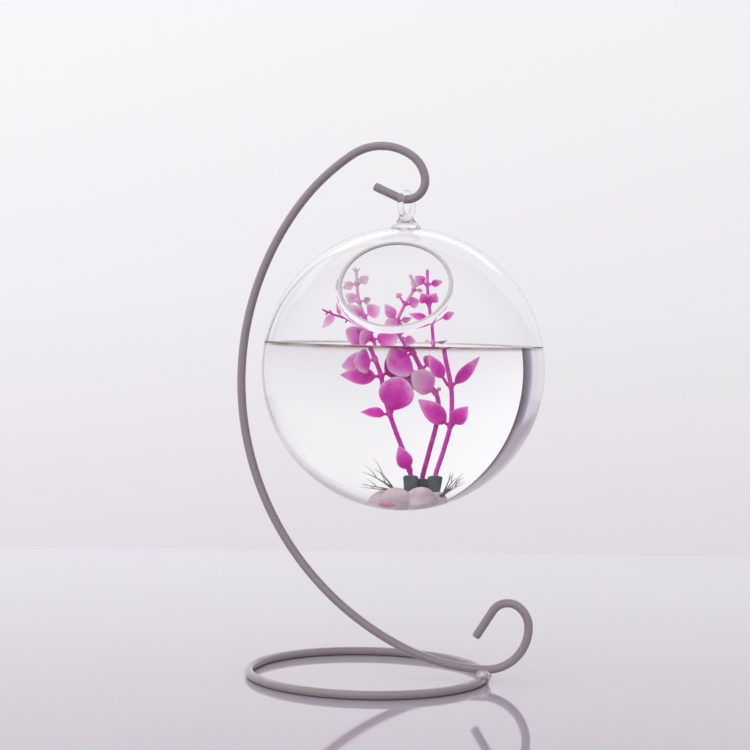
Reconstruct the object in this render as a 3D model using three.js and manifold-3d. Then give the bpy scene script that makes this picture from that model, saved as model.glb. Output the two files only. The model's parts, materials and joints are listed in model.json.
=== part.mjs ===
// A glass globe vase that hangs by its loop from a bent wire stand, with a plastic water plant inside.
// Millimetres, +Z up. The stand's arm lies in the X-Z plane and the globe's mouth looks towards -Y.
import * as THREE from 'three';
import { mergeVertices } from 'three/addons/utils/BufferGeometryUtils.js';
import Module from 'manifold-3d';

const wasm = await Module();
wasm.setup();

// Clearance that is left between pieces that touch on the real object
const SEAT_GAP = 0.3;

// Stand: an arm and a ring of the same painted rod, welded where the arm lies on the ring
const ROD_DIAMETER = 4.6;
const RING_RADIUS = 63;
const RING_END_GAP = 1.2;
const WELD_SPREAD = 4.4;
const WELD_HALF_HEIGHT = 3;

// Arm: bends from the weld round the globe's back to the hook, all turning the same way
const LOWER_SWEEP = 24.6;
const BACK_SWEEP = 101.3;
const SHOULDER_SWEEP = 20.3;
const CROWN_SWEEP = 67.9;
const CROWN_RADIUS = 29;
const HOOK_SIDE_SWEEP = 49;
const HOOK_SIDE_RADIUS = 17.3;
const HOOK_SEAT_RADIUS = 9.8;
const HOOK_TIP_RISE = 24;
const HOOK_TIP_LENGTH = 14.7;
const ARM_CLEARANCE = 11.7;
const HOOK_OFFSET = 16.2;

// Scroll: the arm's front end, curled up beyond the weld
const SCROLL_RADIUS = 23.3;
const SCROLL_SWEEP = 91;
const CURL_RADIUS = 13.3;
const CURL_SWEEP = 48.7;
const CURL_END_RADIUS = 9.7;
const CURL_END_SWEEP = 98.5;
const CURL_TIP_LENGTH = 16.8;

// Globe: a blown sphere with a round mouth cut in its upper front
const GLOBE_RADIUS = 75;
const GLASS_WALL = 1.8;
const GLOBE_FLOOR_CLEARANCE = 90;
const MOUTH_RADIUS = 28.2;
const MOUTH_ELEVATION = 39.8;
const MOUTH_TURN = 6;
const RIM_BEAD_RADIUS = 1.4;

// Hanging loop: a glass rod bent to an eye on a flared foot
const LOOP_ROD_DIAMETER = 2.8;
const LOOP_HOLE_WIDTH = 8.4;
const LOOP_HOLE_HEIGHT = 9.8;
const LOOP_TURN = -23;
const NECK_HEIGHT = 7.5;
const NECK_DIAMETER = 7;
const FOOT_DIAMETER = 15;
const FOOT_LIP = 0.6;
const FLARE_SHARE = 0.4;

// Plant ornament: a cobbled base with three sockets, stems pushed into them and leaves on sleeves
const ORNAMENT_TURN = 12;
const ROCK_HEIGHT = 24.5;
const ROCK_OFFSET = 3.3;
const COBBLES_AROUND = 6;
const COBBLE_SPREAD = 10.5;
const COBBLE_LENGTH = 17;
const COBBLE_WIDTH = 15.5;
const COBBLE_STEP_DOWN = 2;
const SMALL_STEP_DOWN = 1.2;
const SOCKET_DIAMETER = 6.4;
const SOCKET_FOOT_DIAMETER = 4.8;
const SOCKET_HEIGHT = 9;
const SOCKET_SUNK = 4;
const SOCKET_FLOOR = 3;
const STEM_DIAMETER = 2;
const PLANT_HEADROOM = 22;
const SLEEVE_WALL = 0.6;
const SLEEVE_LENGTH = 2.4;
const LEAF_THICKNESS = 0.8;
const LEAF_STALK_WIDTH = 1.2;
const LEAF_STALK_LENGTH = 1.2;
const LEAF_BELLY = 0.7;
const LEAF_BELLY_PLACE = 0.3;
const LEAF_SHOULDER = 0.62;
const LEAF_SHOULDER_PLACE = 0.86;
const LEAF_CURL = 0.12;
const LEAF_CUP = 0.5;
const TWIG_DIAMETER = 1.5;
const TWIG_TIP_DIAMETER = 1;
const GRASS_ROOT_DIAMETER = 3;
const BLADE_WIDTH = 0.9;
const BLADE_ARCH = 0.17;

// Where each stem stands, and the points it passes: across, away from the front, and share of its height
const STEMS = {
  a: {
    foot: [4, -3],
    route: [[1.5, -3, 0.09], [-2.3, -3, 0.19], [-5.1, -2.5, 0.27], [-7.7, -2, 0.36], [-8.8, -1.5, 0.43],
      [-12.6, -1, 0.53], [-15.8, 0, 0.61], [-19.8, 1, 0.72], [-23.7, 2, 0.82], [-25.2, 3, 0.9],
      [-25.9, 3.5, 1]],
  },
  b: {
    foot: [8.5, 5],
    route: [[11, 5, 0.12], [13.8, 5, 0.25], [13.9, 4.5, 0.34], [11.8, 4, 0.38], [7.3, 3.5, 0.46],
      [3.8, 3, 0.53], [-0.6, 2.5, 0.62], [-3.6, 2, 0.68], [-3.6, 2, 0.725], [0.3, 2, 0.82], [4.8, 2, 0.91],
      [4.2, 2, 0.955], [2.4, 2, 0.99]],
  },
  c: {
    foot: [14, -2],
    route: [[16.8, -2, 0.11], [19.5, -1.5, 0.23], [19.8, -1, 0.32], [19.3, -0.5, 0.39], [16.4, 0, 0.535],
      [15, 0, 0.69], [13.5, 0.5, 0.79], [12.1, 1, 0.91], [11.8, 1, 1.02]],
  },
};

// Leaves on each stem's sleeves, from the bottom up. at is the share of the plant's height. A leaf is its
// tip's place from the stem (across, away from the front and up), its width, its face's turn from the front
// and, where it has a long one, its stalk's length.
const LEAVES = {
  a: [
    { at: 0.03, leaves: [[-3.6, -3, 7.2, 7.5, 0]] },
    { at: 0.27, leaves: [[3.8, -4.5, 14.7, 14.5, 0], [-11.7, -2, 1, 4.5, 30]] },
    { at: 0.43, leaves: [[-16.5, 1, 0, 5, 0], [9, 6, 7, 9, 20]] },
    { at: 0.5, leaves: [[-8.5, -5, -1.2, 7.5, 0], [-13.5, 4.5, -3, 6, 20]] },
    { at: 0.62, leaves: [[-14.5, -3, 4.5, 9, -20], [-6, -6, 4, 9, 10], [13, -4, 2, 9, 0]] },
    { at: 0.7, leaves: [] },
    { at: 0.75, leaves: [[-8.8, -3, 6.3, 5.5, 10], [7.7, -2, 5.4, 8, -10]] },
    { at: 0.83, leaves: [[6.3, 1, 1.5, 4, 30], [-7.4, -1, 4.1, 5.5, 0]] },
    { at: 0.93, leaves: [[-7.5, -2, -2.3, 4, 0], [6.3, -1, 4.3, 4.5, 0], [-7.4, 2, 0.7, 2, 0]] },
  ],
  b: [
    { at: 0.365, leaves: [[-8.5, -6, 8, 10, 20], [2.3, -2, 1.7, 1.6, 0]] },
    { at: 0.46, leaves: [[-7, -2.5, -6, 9, 0], [5, 2, 5, 4.5, 10]] },
    { at: 0.53, leaves: [[-9, -6, -7, 10, 0], [-4, 4, 3, 6, 0]] },
    { at: 0.63, leaves: [[7.5, -2, -2, 4, 20], [-8, 3, 10.5, 8, 0]] },
    { at: 0.733, leaves: [[-7, -3, 8.4, 5.5, 0], [7.6, -1, 0.8, 3.5, 30]] },
    { at: 0.825, leaves: [[-4.6, -1, 5.7, 3.2, 0, 3.5], [7.7, 1, 2, 5.5, 0]] },
    { at: 0.905, leaves: [[1.5, 4.5, 6.5, 4, 0], [5.4, 2, -0.5, 1.8, 0]] },
  ],
  c: [
    { at: 0.226, leaves: [[-12.8, -3, 10.3, 7.5, 10], [6.8, -3, 7.7, 6.5, -10]] },
    { at: 0.395, leaves: [[11.8, -1, 11.8, 4.5, 10], [-9.4, 1.5, 12.3, 5, 0, 4]] },
    { at: 0.612, leaves: [[-4.5, -1, 0.8, 4, 70], [7.6, -1, 0.6, 4, 70]] },
    { at: 0.735, leaves: [[-12, -2, 3.8, 4, 20], [12.2, -2, 4.1, 4.5, 10, 5]] },
    { at: 0.825, leaves: [[-4.3, -3, 5.8, 5.5, 0], [3.4, -3, 6, 5.5, 0]] },
    { at: 0.935, leaves: [[8.3, -1, 1.7, 3.5, 10], [-6.6, -3, 4.3, 5, 0]] },
  ],
};

// The left stem's side shoot grows from this sleeve, counted from 0. Its tip's place is from the stem, and
// each of its own leaves starts at a share of the shoot.
const SHOOT_STEM = 'a';
const SHOOT_SLEEVE = 5;
const SHOOT_TIP = [-24.5, -1, 8];
const SHOOT_LEAVES = [{ at: 0.6, leaf: [-0.5, -1, 8, 3.6, 30] }, { at: 0.7, leaf: [-7, -1.5, -7, 4.5, 20] }];

// Grass blades: the root's place on the base, and each blade's reach across, away from the front and up
const GRASS = {
  left: {
    root: [-2.5, -6],
    blades: [[-14, -2, 8], [-9, -1, 10], [-14, 1, 2.5], [-15.5, -2, 0.5], [-7, 3, 6]],
  },
  right: {
    root: [18, -5],
    blades: [[6, -2, 9.5], [8.5, 0, 9.5], [10, -1, 6], [4, -3, 11], [9, 2, 8]],
  },
};

// Facets
const ROD_SIDES = 12;
const BEND_STEP = 13;
const BEND_CHORD = 15;
const RING_STEPS = 60;
const GLOBE_SEGMENTS = 40;
const GLOBE_STEP = 7.5;
const RIM_STEPS = 7;
const LOOP_STEPS = 18;
const LOOP_SIDES = 8;
const FOOT_SEGMENTS = 16;
const STEM_STEPS = 30;
const STEM_SIDES = 6;
const LEAF_SEGMENTS = 5;
const BLADE_SIDES = 4;
const BLADE_STEPS = 4;
const BOWL_CUT_SEGMENTS = 48;

const rodRadius = ROD_DIAMETER / 2;
const innerRadius = GLOBE_RADIUS - GLASS_WALL;
const radians = THREE.MathUtils.degToRad;

const paint = new THREE.MeshStandardMaterial({ color: 0x8f8489, roughness: 0.45, metalness: 0.3 });
const bareWeld = new THREE.MeshStandardMaterial({ color: 0xa39aa0, roughness: 0.35, metalness: 0.6 });
const glass = new THREE.MeshStandardMaterial({
  color: 0xeef1f4, roughness: 0.03, metalness: 0, transparent: true, opacity: 0.3,
});
const magentaLeaf = new THREE.MeshStandardMaterial({ color: 0xc233b8, roughness: 0.4, metalness: 0 });
const paleLeaf = new THREE.MeshStandardMaterial({ color: 0xc79ac4, roughness: 0.45, metalness: 0 });
const purpleStem = new THREE.MeshStandardMaterial({ color: 0x9c2f92, roughness: 0.45, metalness: 0 });
const darkSocket = new THREE.MeshStandardMaterial({ color: 0x2c403d, roughness: 0.5, metalness: 0 });
const castRock = new THREE.MeshStandardMaterial({ color: 0x9a8a8e, roughness: 0.8, metalness: 0 });
const paleGrass = new THREE.MeshStandardMaterial({ color: 0xb8b0aa, roughness: 0.5, metalness: 0 });

// Closed three.js geometry as a solid for joining and cutting
function solid(geometry, matrix = new THREE.Matrix4()) {
  const bare = geometry.clone().applyMatrix4(matrix);
  bare.deleteAttribute('normal');
  bare.deleteAttribute('uv');
  const merged = mergeVertices(bare, 1e-4);
  return new wasm.Manifold(new wasm.Mesh({
    numProp: 3,
    vertProperties: new Float32Array(merged.attributes.position.array),
    triVerts: new Uint32Array(merged.index.array),
  }));
}

// The solid's faces as a geometry again
function geometryOf(body) {
  const mesh = body.getMesh();
  const geometry = new THREE.BufferGeometry();
  geometry.setAttribute('position', new THREE.BufferAttribute(new Float32Array(mesh.vertProperties), 3));
  geometry.setIndex(new THREE.BufferAttribute(new Uint32Array(mesh.triVerts), 1));
  geometry.computeVertexNormals();
  return geometry;
}

function named(name, geometry, material) {
  const mesh = new THREE.Mesh(geometry, material);
  mesh.name = name;
  return mesh;
}

// A path through given points with their own directions, so that a swept section lands on each of them
class StationPath extends THREE.Curve {
  constructor(points, tangents) {
    super();
    this.points = points;
    this.tangents = tangents;
  }

  station(t) {
    return Math.round(t * (this.points.length - 1));
  }

  getUtoTmapping(u) {
    return u;
  }

  getPoint(t, target = new THREE.Vector3()) {
    return target.copy(this.points[this.station(t)]);
  }

  getTangent(t, target = new THREE.Vector3()) {
    return target.copy(this.tangents[this.station(t)]);
  }
}

// A regular polygon with a flat side across each axis
function polygon(circumradius, sides) {
  const corners = [];
  for (let i = 0; i < sides; i += 1) {
    const angle = ((i + 0.5) / sides) * 2 * Math.PI;
    corners.push(new THREE.Vector2(circumradius * Math.cos(angle), circumradius * Math.sin(angle)));
  }
  return new THREE.Shape(corners);
}

function sweep(section, path) {
  return new THREE.ExtrudeGeometry(section, { steps: path.points.length - 1, extrudePath: path });
}

// A smooth tube through a few points
function tube(points, diameter, sides, steps) {
  const curve = new THREE.CatmullRomCurve3(points);
  const stations = [];
  const tangents = [];
  for (let i = 0; i <= steps; i += 1) {
    stations.push(curve.getPointAt(i / steps));
    tangents.push(curve.getTangentAt(i / steps));
  }
  return sweep(polygon(diameter / 2, sides), new StationPath(stations, tangents));
}

// A lathe turned about +Z, with its profile given from the bottom of the outside upwards
function lathe(profile, segments) {
  const points = profile.map(([radius, height]) => new THREE.Vector2(radius, height));
  return new THREE.LatheGeometry(points, segments).rotateX(Math.PI / 2);
}

// Rod bending: a heading is an angle in the X-Z plane, and bends turn clockwise seen from -Y
const headingAt = (degrees) => new THREE.Vector3(Math.cos(radians(degrees)), 0, Math.sin(radians(degrees)));
const rightOf = (degrees) => headingAt(degrees - 90);

// How far a bend of unit radius carries the rod between two headings
const unitBend = (from, to) => rightOf(to).sub(rightOf(from)).negate();

// Stations of a run of bends and its straight tip; turn is 1 for clockwise and -1 the other way
function bendRod(start, heading, turn, bends, tipLength) {
  const points = [start.clone()];
  const tangents = [headingAt(heading)];
  let place = start.clone();
  let now = heading;
  for (const { radius, degrees } of bends) {
    const steps = Math.ceil(Math.max(degrees / BEND_STEP, (radians(degrees) * radius) / BEND_CHORD));
    const centre = place.clone().addScaledVector(rightOf(now), turn * radius);
    for (let i = 1; i <= steps; i += 1) {
      const angle = now - (turn * degrees * i) / steps;
      points.push(centre.clone().addScaledVector(rightOf(angle), -turn * radius));
      tangents.push(headingAt(angle));
    }
    now -= turn * degrees;
    place = points.at(-1);
  }
  points.push(place.clone().addScaledVector(headingAt(now), tipLength));
  tangents.push(headingAt(now));
  return { points, tangents };
}

// Heights: the globe hangs clear of the table, and its loop's inner top lies on the hook's seat
const globeCentreHeight = GLOBE_FLOOR_CLEARANCE + GLOBE_RADIUS;
const seatAboveGlobe = GLOBE_RADIUS + NECK_HEIGHT + LOOP_HOLE_HEIGHT - SEAT_GAP - rodRadius;
const seat = new THREE.Vector3(HOOK_OFFSET, 0, globeCentreHeight + seatAboveGlobe);
const weld = new THREE.Vector3(RING_RADIUS, 0, rodRadius + ROD_DIAMETER + SEAT_GAP);
const armBackX = seat.x - GLOBE_RADIUS - ARM_CLEARANCE - rodRadius;

// The three wide sweeps' radii follow from where the arm has to go: it starts level on the ring, passes the
// globe's back at its clearance, and brings the hook's seat to its place. Each bend's travel is its radius
// times a fixed direction, so these are three linear equations.
function wideSweepRadii() {
  const start = 180;
  const afterLower = start - LOWER_SWEEP;
  const afterBack = afterLower - BACK_SWEEP;
  const afterShoulder = afterBack - SHOULDER_SWEEP;
  const afterCrown = afterShoulder - CROWN_SWEEP;
  const afterSide = afterCrown - HOOK_SIDE_SWEEP;
  const upright = 90;
  const level = -180;
  const lower = unitBend(start, afterLower);
  const back = unitBend(afterLower, afterBack);
  const shoulder = unitBend(afterBack, afterShoulder);
  const toBackmost = unitBend(afterLower, upright);
  const tightBends = unitBend(afterShoulder, afterCrown).multiplyScalar(CROWN_RADIUS)
    .addScaledVector(unitBend(afterCrown, afterSide), HOOK_SIDE_RADIUS)
    .addScaledVector(unitBend(afterSide, level), HOOK_SEAT_RADIUS);
  const travel = seat.clone().sub(weld).sub(tightBends);
  const equations = new THREE.Matrix3(
    lower.x, back.x, shoulder.x,
    lower.z, back.z, shoulder.z,
    lower.x, toBackmost.x, 0,
  );
  return new THREE.Vector3(travel.x, travel.z, armBackX - weld.x).applyMatrix3(equations.invert());
}

function armPath() {
  const wide = wideSweepRadii();
  const sweptToSeatBend = LOWER_SWEEP + BACK_SWEEP + SHOULDER_SWEEP + CROWN_SWEEP + HOOK_SIDE_SWEEP;
  const back = bendRod(weld, 180, 1, [
    { radius: wide.x, degrees: LOWER_SWEEP },
    { radius: wide.y, degrees: BACK_SWEEP },
    { radius: wide.z, degrees: SHOULDER_SWEEP },
    { radius: CROWN_RADIUS, degrees: CROWN_SWEEP },
    { radius: HOOK_SIDE_RADIUS, degrees: HOOK_SIDE_SWEEP },
    { radius: HOOK_SEAT_RADIUS, degrees: 360 + HOOK_TIP_RISE - sweptToSeatBend },
  ], HOOK_TIP_LENGTH);
  const front = bendRod(weld, 0, -1, [
    { radius: SCROLL_RADIUS, degrees: SCROLL_SWEEP },
    { radius: CURL_RADIUS, degrees: CURL_SWEEP },
    { radius: CURL_END_RADIUS, degrees: CURL_END_SWEEP },
  ], CURL_TIP_LENGTH);
  const points = [...front.points.reverse(), ...back.points.slice(1)];
  const tangents = [...front.tangents.reverse().map((t) => t.negate()), ...back.tangents.slice(1)];
  return new StationPath(points, tangents);
}

// The ring's rod runs round from just after the weld to just before it, flat side down
function ringPath(endGap) {
  const halfGap = endGap / 2 / RING_RADIUS;
  const points = [];
  const tangents = [];
  for (let i = 0; i <= RING_STEPS; i += 1) {
    const angle = halfGap + (i / RING_STEPS) * 2 * (Math.PI - halfGap);
    points.push(new THREE.Vector3(RING_RADIUS * Math.cos(angle), RING_RADIUS * Math.sin(angle), rodRadius));
    tangents.push(new THREE.Vector3(-Math.sin(angle), Math.cos(angle), 0));
  }
  return new StationPath(points, tangents);
}

function makeStand() {
  const stand = new THREE.Group();
  const path = armPath();
  const flatToFlat = 1 / Math.cos(Math.PI / ROD_SIDES);
  stand.add(named('stand_arm', sweep(polygon(rodRadius, ROD_SIDES), path), paint));
  const ringSection = polygon(rodRadius * flatToFlat, ROD_SIDES);
  stand.add(named('base_ring', sweep(ringSection, ringPath(RING_END_GAP)), paint));
  // A fillet weld all round the place where the two rods cross, cut back from both of them
  const bead = new THREE.SphereGeometry(1, 12, 8).scale(WELD_SPREAD, WELD_SPREAD, WELD_HALF_HEIGHT);
  bead.translate(weld.x, 0, ROD_DIAMETER + SEAT_GAP / 2);
  const widerRod = polygon((rodRadius + SEAT_GAP) * flatToFlat, ROD_SIDES);
  const weldBody = solid(bead)
    .subtract(solid(sweep(widerRod, path)))
    .subtract(solid(new THREE.CylinderGeometry(
      (rodRadius + SEAT_GAP) * flatToFlat, (rodRadius + SEAT_GAP) * flatToFlat, 4 * WELD_SPREAD, ROD_SIDES,
    ).rotateY(Math.PI / ROD_SIDES).translate(weld.x, 0, rodRadius)));
  stand.add(named('weld_bead', geometryOf(weldBody), bareWeld));
  return stand;
}

// A point of the globe's half section at a polar angle from the mouth's axis
const polar = (radius, angle) => [radius * Math.sin(angle), radius * Math.cos(angle)];

function globeGeometry() {
  const middleRadius = GLOBE_RADIUS - GLASS_WALL / 2;
  const beadAngle = Math.asin(MOUTH_RADIUS / middleRadius);
  const beadOpening = Math.PI - Math.asin(GLASS_WALL / 2 / RIM_BEAD_RADIUS);
  const wallEnd = beadAngle - (RIM_BEAD_RADIUS * Math.cos(beadOpening)) / middleRadius;
  const arcSteps = Math.ceil((180 - THREE.MathUtils.radToDeg(wallEnd)) / GLOBE_STEP);
  const outside = [];
  const inside = [];
  for (let i = 0; i < arcSteps; i += 1) {
    const angle = Math.PI - (i / arcSteps) * (Math.PI - wallEnd);
    outside.push(polar(GLOBE_RADIUS, angle));
    inside.unshift(polar(innerRadius, angle));
  }
  const rim = [];
  const [beadX, beadY] = polar(middleRadius, beadAngle);
  for (let i = 0; i <= RIM_STEPS; i += 1) {
    const turn = beadOpening * (1 - (2 * i) / RIM_STEPS);
    const along = RIM_BEAD_RADIUS * Math.cos(turn);
    const out = RIM_BEAD_RADIUS * Math.sin(turn);
    rim.push([
      beadX - along * Math.cos(beadAngle) + out * Math.sin(beadAngle),
      beadY + along * Math.sin(beadAngle) + out * Math.cos(beadAngle),
    ]);
  }
  outside[0][0] = 0;
  inside.at(-1)[0] = 0;
  return lathe([...outside, ...rim, ...inside], GLOBE_SEGMENTS);
}

// The loop's ends run down into the neck of its foot, and the foot follows the globe
function loopGeometry() {
  const rod = LOOP_ROD_DIAMETER / 2;
  const halfWidth = LOOP_HOLE_WIDTH / 2 + rod;
  const halfHeight = LOOP_HOLE_HEIGHT / 2 + rod;
  const holeBottom = GLOBE_RADIUS + NECK_HEIGHT;
  const middle = holeBottom + LOOP_HOLE_HEIGHT / 2;
  const buried = 0.25;
  const points = [];
  const tangents = [];
  for (let i = 0; i <= LOOP_STEPS; i += 1) {
    const angle = -Math.PI / 2 + buried + (i / LOOP_STEPS) * 2 * (Math.PI - buried);
    points.push(new THREE.Vector3(halfWidth * Math.cos(angle), 0, middle + halfHeight * Math.sin(angle)));
    const onward = new THREE.Vector3(-halfWidth * Math.sin(angle), 0, halfHeight * Math.cos(angle));
    tangents.push(onward.normalize());
  }
  const eye = sweep(polygon(rod, LOOP_SIDES), new StationPath(points, tangents));
  const footRadius = FOOT_DIAMETER / 2;
  const neckRadius = NECK_DIAMETER / 2;
  const seatRadius = GLOBE_RADIUS + SEAT_GAP;
  const footEdge = Math.sqrt(seatRadius ** 2 - footRadius ** 2);
  const lipTop = footEdge + FOOT_LIP;
  const neckTop = holeBottom - rod;
  const profile = [
    [0, seatRadius],
    [footRadius / 2, Math.sqrt(seatRadius ** 2 - footRadius ** 2 / 4)],
    [footRadius, footEdge],
    [footRadius, lipTop],
    [(footRadius + neckRadius) / 2, THREE.MathUtils.lerp(lipTop, neckTop, FLARE_SHARE)],
    [neckRadius, neckTop],
    [0, holeBottom - rod / 2],
  ];
  return geometryOf(solid(lathe(profile, FOOT_SEGMENTS)).add(solid(eye)));
}

// Heights inside the bowl are measured from the lowest point that the faceted glass leaves clear
const facetLoss = Math.cos(Math.PI / GLOBE_SEGMENTS) * Math.cos(radians(GLOBE_STEP / 2));
const bowlRadius = innerRadius * facetLoss - SEAT_GAP;
const rockTop = ROCK_HEIGHT - innerRadius;
const socketFoot = rockTop - SOCKET_SUNK;
const socketTop = socketFoot + SOCKET_HEIGHT;
const plantTop = innerRadius - PLANT_HEADROOM;

// The stem comes up out of its socket and then follows its route
function stemPoints({ foot, route }) {
  const [x, y] = foot;
  const start = new THREE.Vector3(x, y, socketFoot + SOCKET_FLOOR + SEAT_GAP);
  const leaving = new THREE.Vector3(x, y, socketTop);
  const above = route.map(([px, py, share]) => (
    new THREE.Vector3(px, py, THREE.MathUtils.lerp(socketTop, plantTop, share))
  ));
  return [start, leaving, ...above];
}

// A blade on a stalk along +X that swells to its belly and draws out to its tip. The tip curls back and the
// edges cup up.
function leafGeometry(length, width, stalkLength) {
  const half = LEAF_STALK_WIDTH / 2;
  const blade = length - stalkLength;
  const outline = new THREE.Shape();
  outline.moveTo(0, -half);
  outline.lineTo(stalkLength, -half);
  const bellyX = stalkLength + LEAF_BELLY_PLACE * blade;
  const bellyY = LEAF_BELLY * width;
  const shoulderX = stalkLength + LEAF_SHOULDER_PLACE * blade;
  const shoulderY = LEAF_SHOULDER * width;
  outline.bezierCurveTo(bellyX, -bellyY, shoulderX, -shoulderY, length, 0);
  outline.bezierCurveTo(shoulderX, shoulderY, bellyX, bellyY, stalkLength, half);
  outline.lineTo(0, half);
  const geometry = new THREE.ExtrudeGeometry(outline, {
    depth: LEAF_THICKNESS, bevelEnabled: false, curveSegments: LEAF_SEGMENTS,
  });
  geometry.translate(0, 0, -LEAF_THICKNESS / 2);
  const position = geometry.attributes.position;
  for (let i = 0; i < position.count; i += 1) {
    const along = position.getX(i) / length;
    const across = position.getY(i) / width;
    const bend = LEAF_CUP * width * across ** 2 - LEAF_CURL * length * along ** 2;
    position.setZ(i, position.getZ(i) + bend);
  }
  return geometry;
}

const stemRadius = STEM_DIAMETER / 2;
const sleeveBore = (stemRadius + SEAT_GAP) / Math.cos(Math.PI / STEM_SIDES);
const stalkRoot = sleeveBore + SLEEVE_WALL / 2;

// A short bush that slips over the stem at a place, along the stem's direction there
function sleeveBody(place, tangent) {
  const outer = sleeveBore + SLEEVE_WALL;
  const half = SLEEVE_LENGTH / 2;
  const corner = [sleeveBore, -half];
  const profile = [corner, [outer, -half], [outer, half], [sleeveBore, half], corner];
  const turn = new THREE.Quaternion().setFromUnitVectors(new THREE.Vector3(0, 0, 1), tangent);
  const matrix = new THREE.Matrix4().makeRotationFromQuaternion(turn).setPosition(place);
  return solid(lathe(profile, STEM_SIDES), matrix);
}

// Where something that reaches out to a tip leaves a sleeve: on its wall, at the side that the tip is on
function rootOnSleeve(place, tangent, reach) {
  const sideways = reach.clone().addScaledVector(tangent, -reach.dot(tangent)).normalize();
  return place.clone().addScaledVector(sideways, stalkRoot);
}

// Points +X from a root to a tip, with +Z as near to the front as that leaves it, turned about the line by
// an angle
function towards(root, tip, turn) {
  const along = tip.clone().sub(root).normalize();
  const across = new THREE.Vector3(0, -1, 0).cross(along).normalize();
  return new THREE.Matrix4().makeBasis(along, across, along.clone().cross(across)).setPosition(root)
    .multiply(new THREE.Matrix4().makeRotationX(radians(turn)));
}

function leafBody(root, tip, width, turn = 0, stalkLength = LEAF_STALK_LENGTH) {
  return solid(leafGeometry(root.distanceTo(tip), width, stalkLength), towards(root, tip, turn));
}

// A thin side stem from a sleeve, with leaves of its own
function shootBody(place, tangent) {
  const reach = new THREE.Vector3(...SHOOT_TIP);
  const root = rootOnSleeve(place, tangent, reach);
  const tip = place.clone().add(reach);
  const length = root.distanceTo(tip);
  const twig = new THREE.CylinderGeometry(TWIG_TIP_DIAMETER / 2, TWIG_DIAMETER / 2, length, STEM_SIDES)
    .rotateZ(-Math.PI / 2).translate(length / 2, 0, 0);
  let body = solid(twig, towards(root, tip, 0));
  for (const { at, leaf } of SHOOT_LEAVES) {
    const [across, away, up, width, turn] = leaf;
    const start = root.clone().lerp(tip, at);
    body = body.add(leafBody(start, start.clone().add(new THREE.Vector3(across, away, up)), width, turn));
  }
  return body;
}

// Where a stem's run of stations passes a height, and its direction there
function placeAtHeight(stations, height) {
  const next = stations.findIndex((point) => point.z > height);
  const below = stations[next - 1];
  const above = stations[next];
  const place = below.clone().lerp(above, (height - below.z) / (above.z - below.z));
  return { place, tangent: above.clone().sub(below).normalize() };
}

function makeStems(ornament) {
  for (const [key, stem] of Object.entries(STEMS)) {
    const points = stemPoints(stem);
    const stations = new THREE.CatmullRomCurve3(points).getSpacedPoints(STEM_STEPS);
    ornament.add(named(`stem_${key}`, tube(points, STEM_DIAMETER, STEM_SIDES, STEM_STEPS), purpleStem));
    LEAVES[key].forEach(({ at, leaves }, level) => {
      const { place, tangent } = placeAtHeight(stations, THREE.MathUtils.lerp(socketTop, plantTop, at));
      let body = sleeveBody(place, tangent);
      for (const [across, away, up, ...form] of leaves) {
        const reach = new THREE.Vector3(across, away, up);
        body = body.add(leafBody(rootOnSleeve(place, tangent, reach), place.clone().add(reach), ...form));
      }
      if (key === SHOOT_STEM && level === SHOOT_SLEEVE) {
        body = body.add(shootBody(place, tangent));
      }
      const plastic = key === SHOOT_STEM ? paleLeaf : magentaLeaf;
      ornament.add(named(`leaves_${key}${level + 1}`, geometryOf(body), plastic));
    });
  }
}

// The socket's cup outside, with an allowance all round for the hole that takes it
function socketOutside(allowance) {
  return [
    [0, -allowance],
    [SOCKET_FOOT_DIAMETER / 2 + allowance, -allowance],
    [SOCKET_DIAMETER / 2 + allowance, SOCKET_HEIGHT],
  ];
}

// Cobbles: a tall one in the middle and lower ones round it, cut to the bowl's inside
function rockBody() {
  const cobbles = [[0, 0, ROCK_HEIGHT]];
  for (let i = 0; i < COBBLES_AROUND; i += 1) {
    const angle = (i / COBBLES_AROUND) * 2 * Math.PI;
    const lower = i % 2 ? SMALL_STEP_DOWN : COBBLE_STEP_DOWN;
    cobbles.push([COBBLE_SPREAD * Math.cos(angle), COBBLE_SPREAD * Math.sin(angle), ROCK_HEIGHT - lower]);
  }
  const stones = cobbles.map(([x, y, height]) => solid(
    new THREE.IcosahedronGeometry(1, 1).scale(COBBLE_LENGTH / 2, COBBLE_WIDTH / 2, height / 2)
      .rotateZ(x + y).translate(ROCK_OFFSET + x, y, height / 2 - innerRadius),
  ));
  const heap = stones.reduce((sum, stone) => sum.add(stone));
  const bowl = new THREE.SphereGeometry(bowlRadius, BOWL_CUT_SEGMENTS, BOWL_CUT_SEGMENTS / 2);
  return heap.intersect(solid(bowl));
}

// The rock's surface height at a place on it
function rockSurface(rock, x, y) {
  const probe = new THREE.BoxGeometry(BLADE_WIDTH, BLADE_WIDTH, 2 * innerRadius).translate(x, y, 0);
  return rock.intersect(solid(probe)).boundingBox().max[2];
}

// A tuft of blades from a round root that is half sunk in the rock
function tuftBody(root, blades) {
  let tuft = solid(new THREE.SphereGeometry(GRASS_ROOT_DIAMETER / 2, 8, 6).translate(root.x, root.y, root.z));
  for (const [across, away, up] of blades) {
    const tip = root.clone().add(new THREE.Vector3(across, away, up));
    const middle = root.clone().lerp(tip, 0.5).add(new THREE.Vector3(0, 0, up * BLADE_ARCH));
    tuft = tuft.add(solid(tube([root, middle, tip], BLADE_WIDTH, BLADE_SIDES, BLADE_STEPS)));
  }
  return tuft;
}

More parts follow.
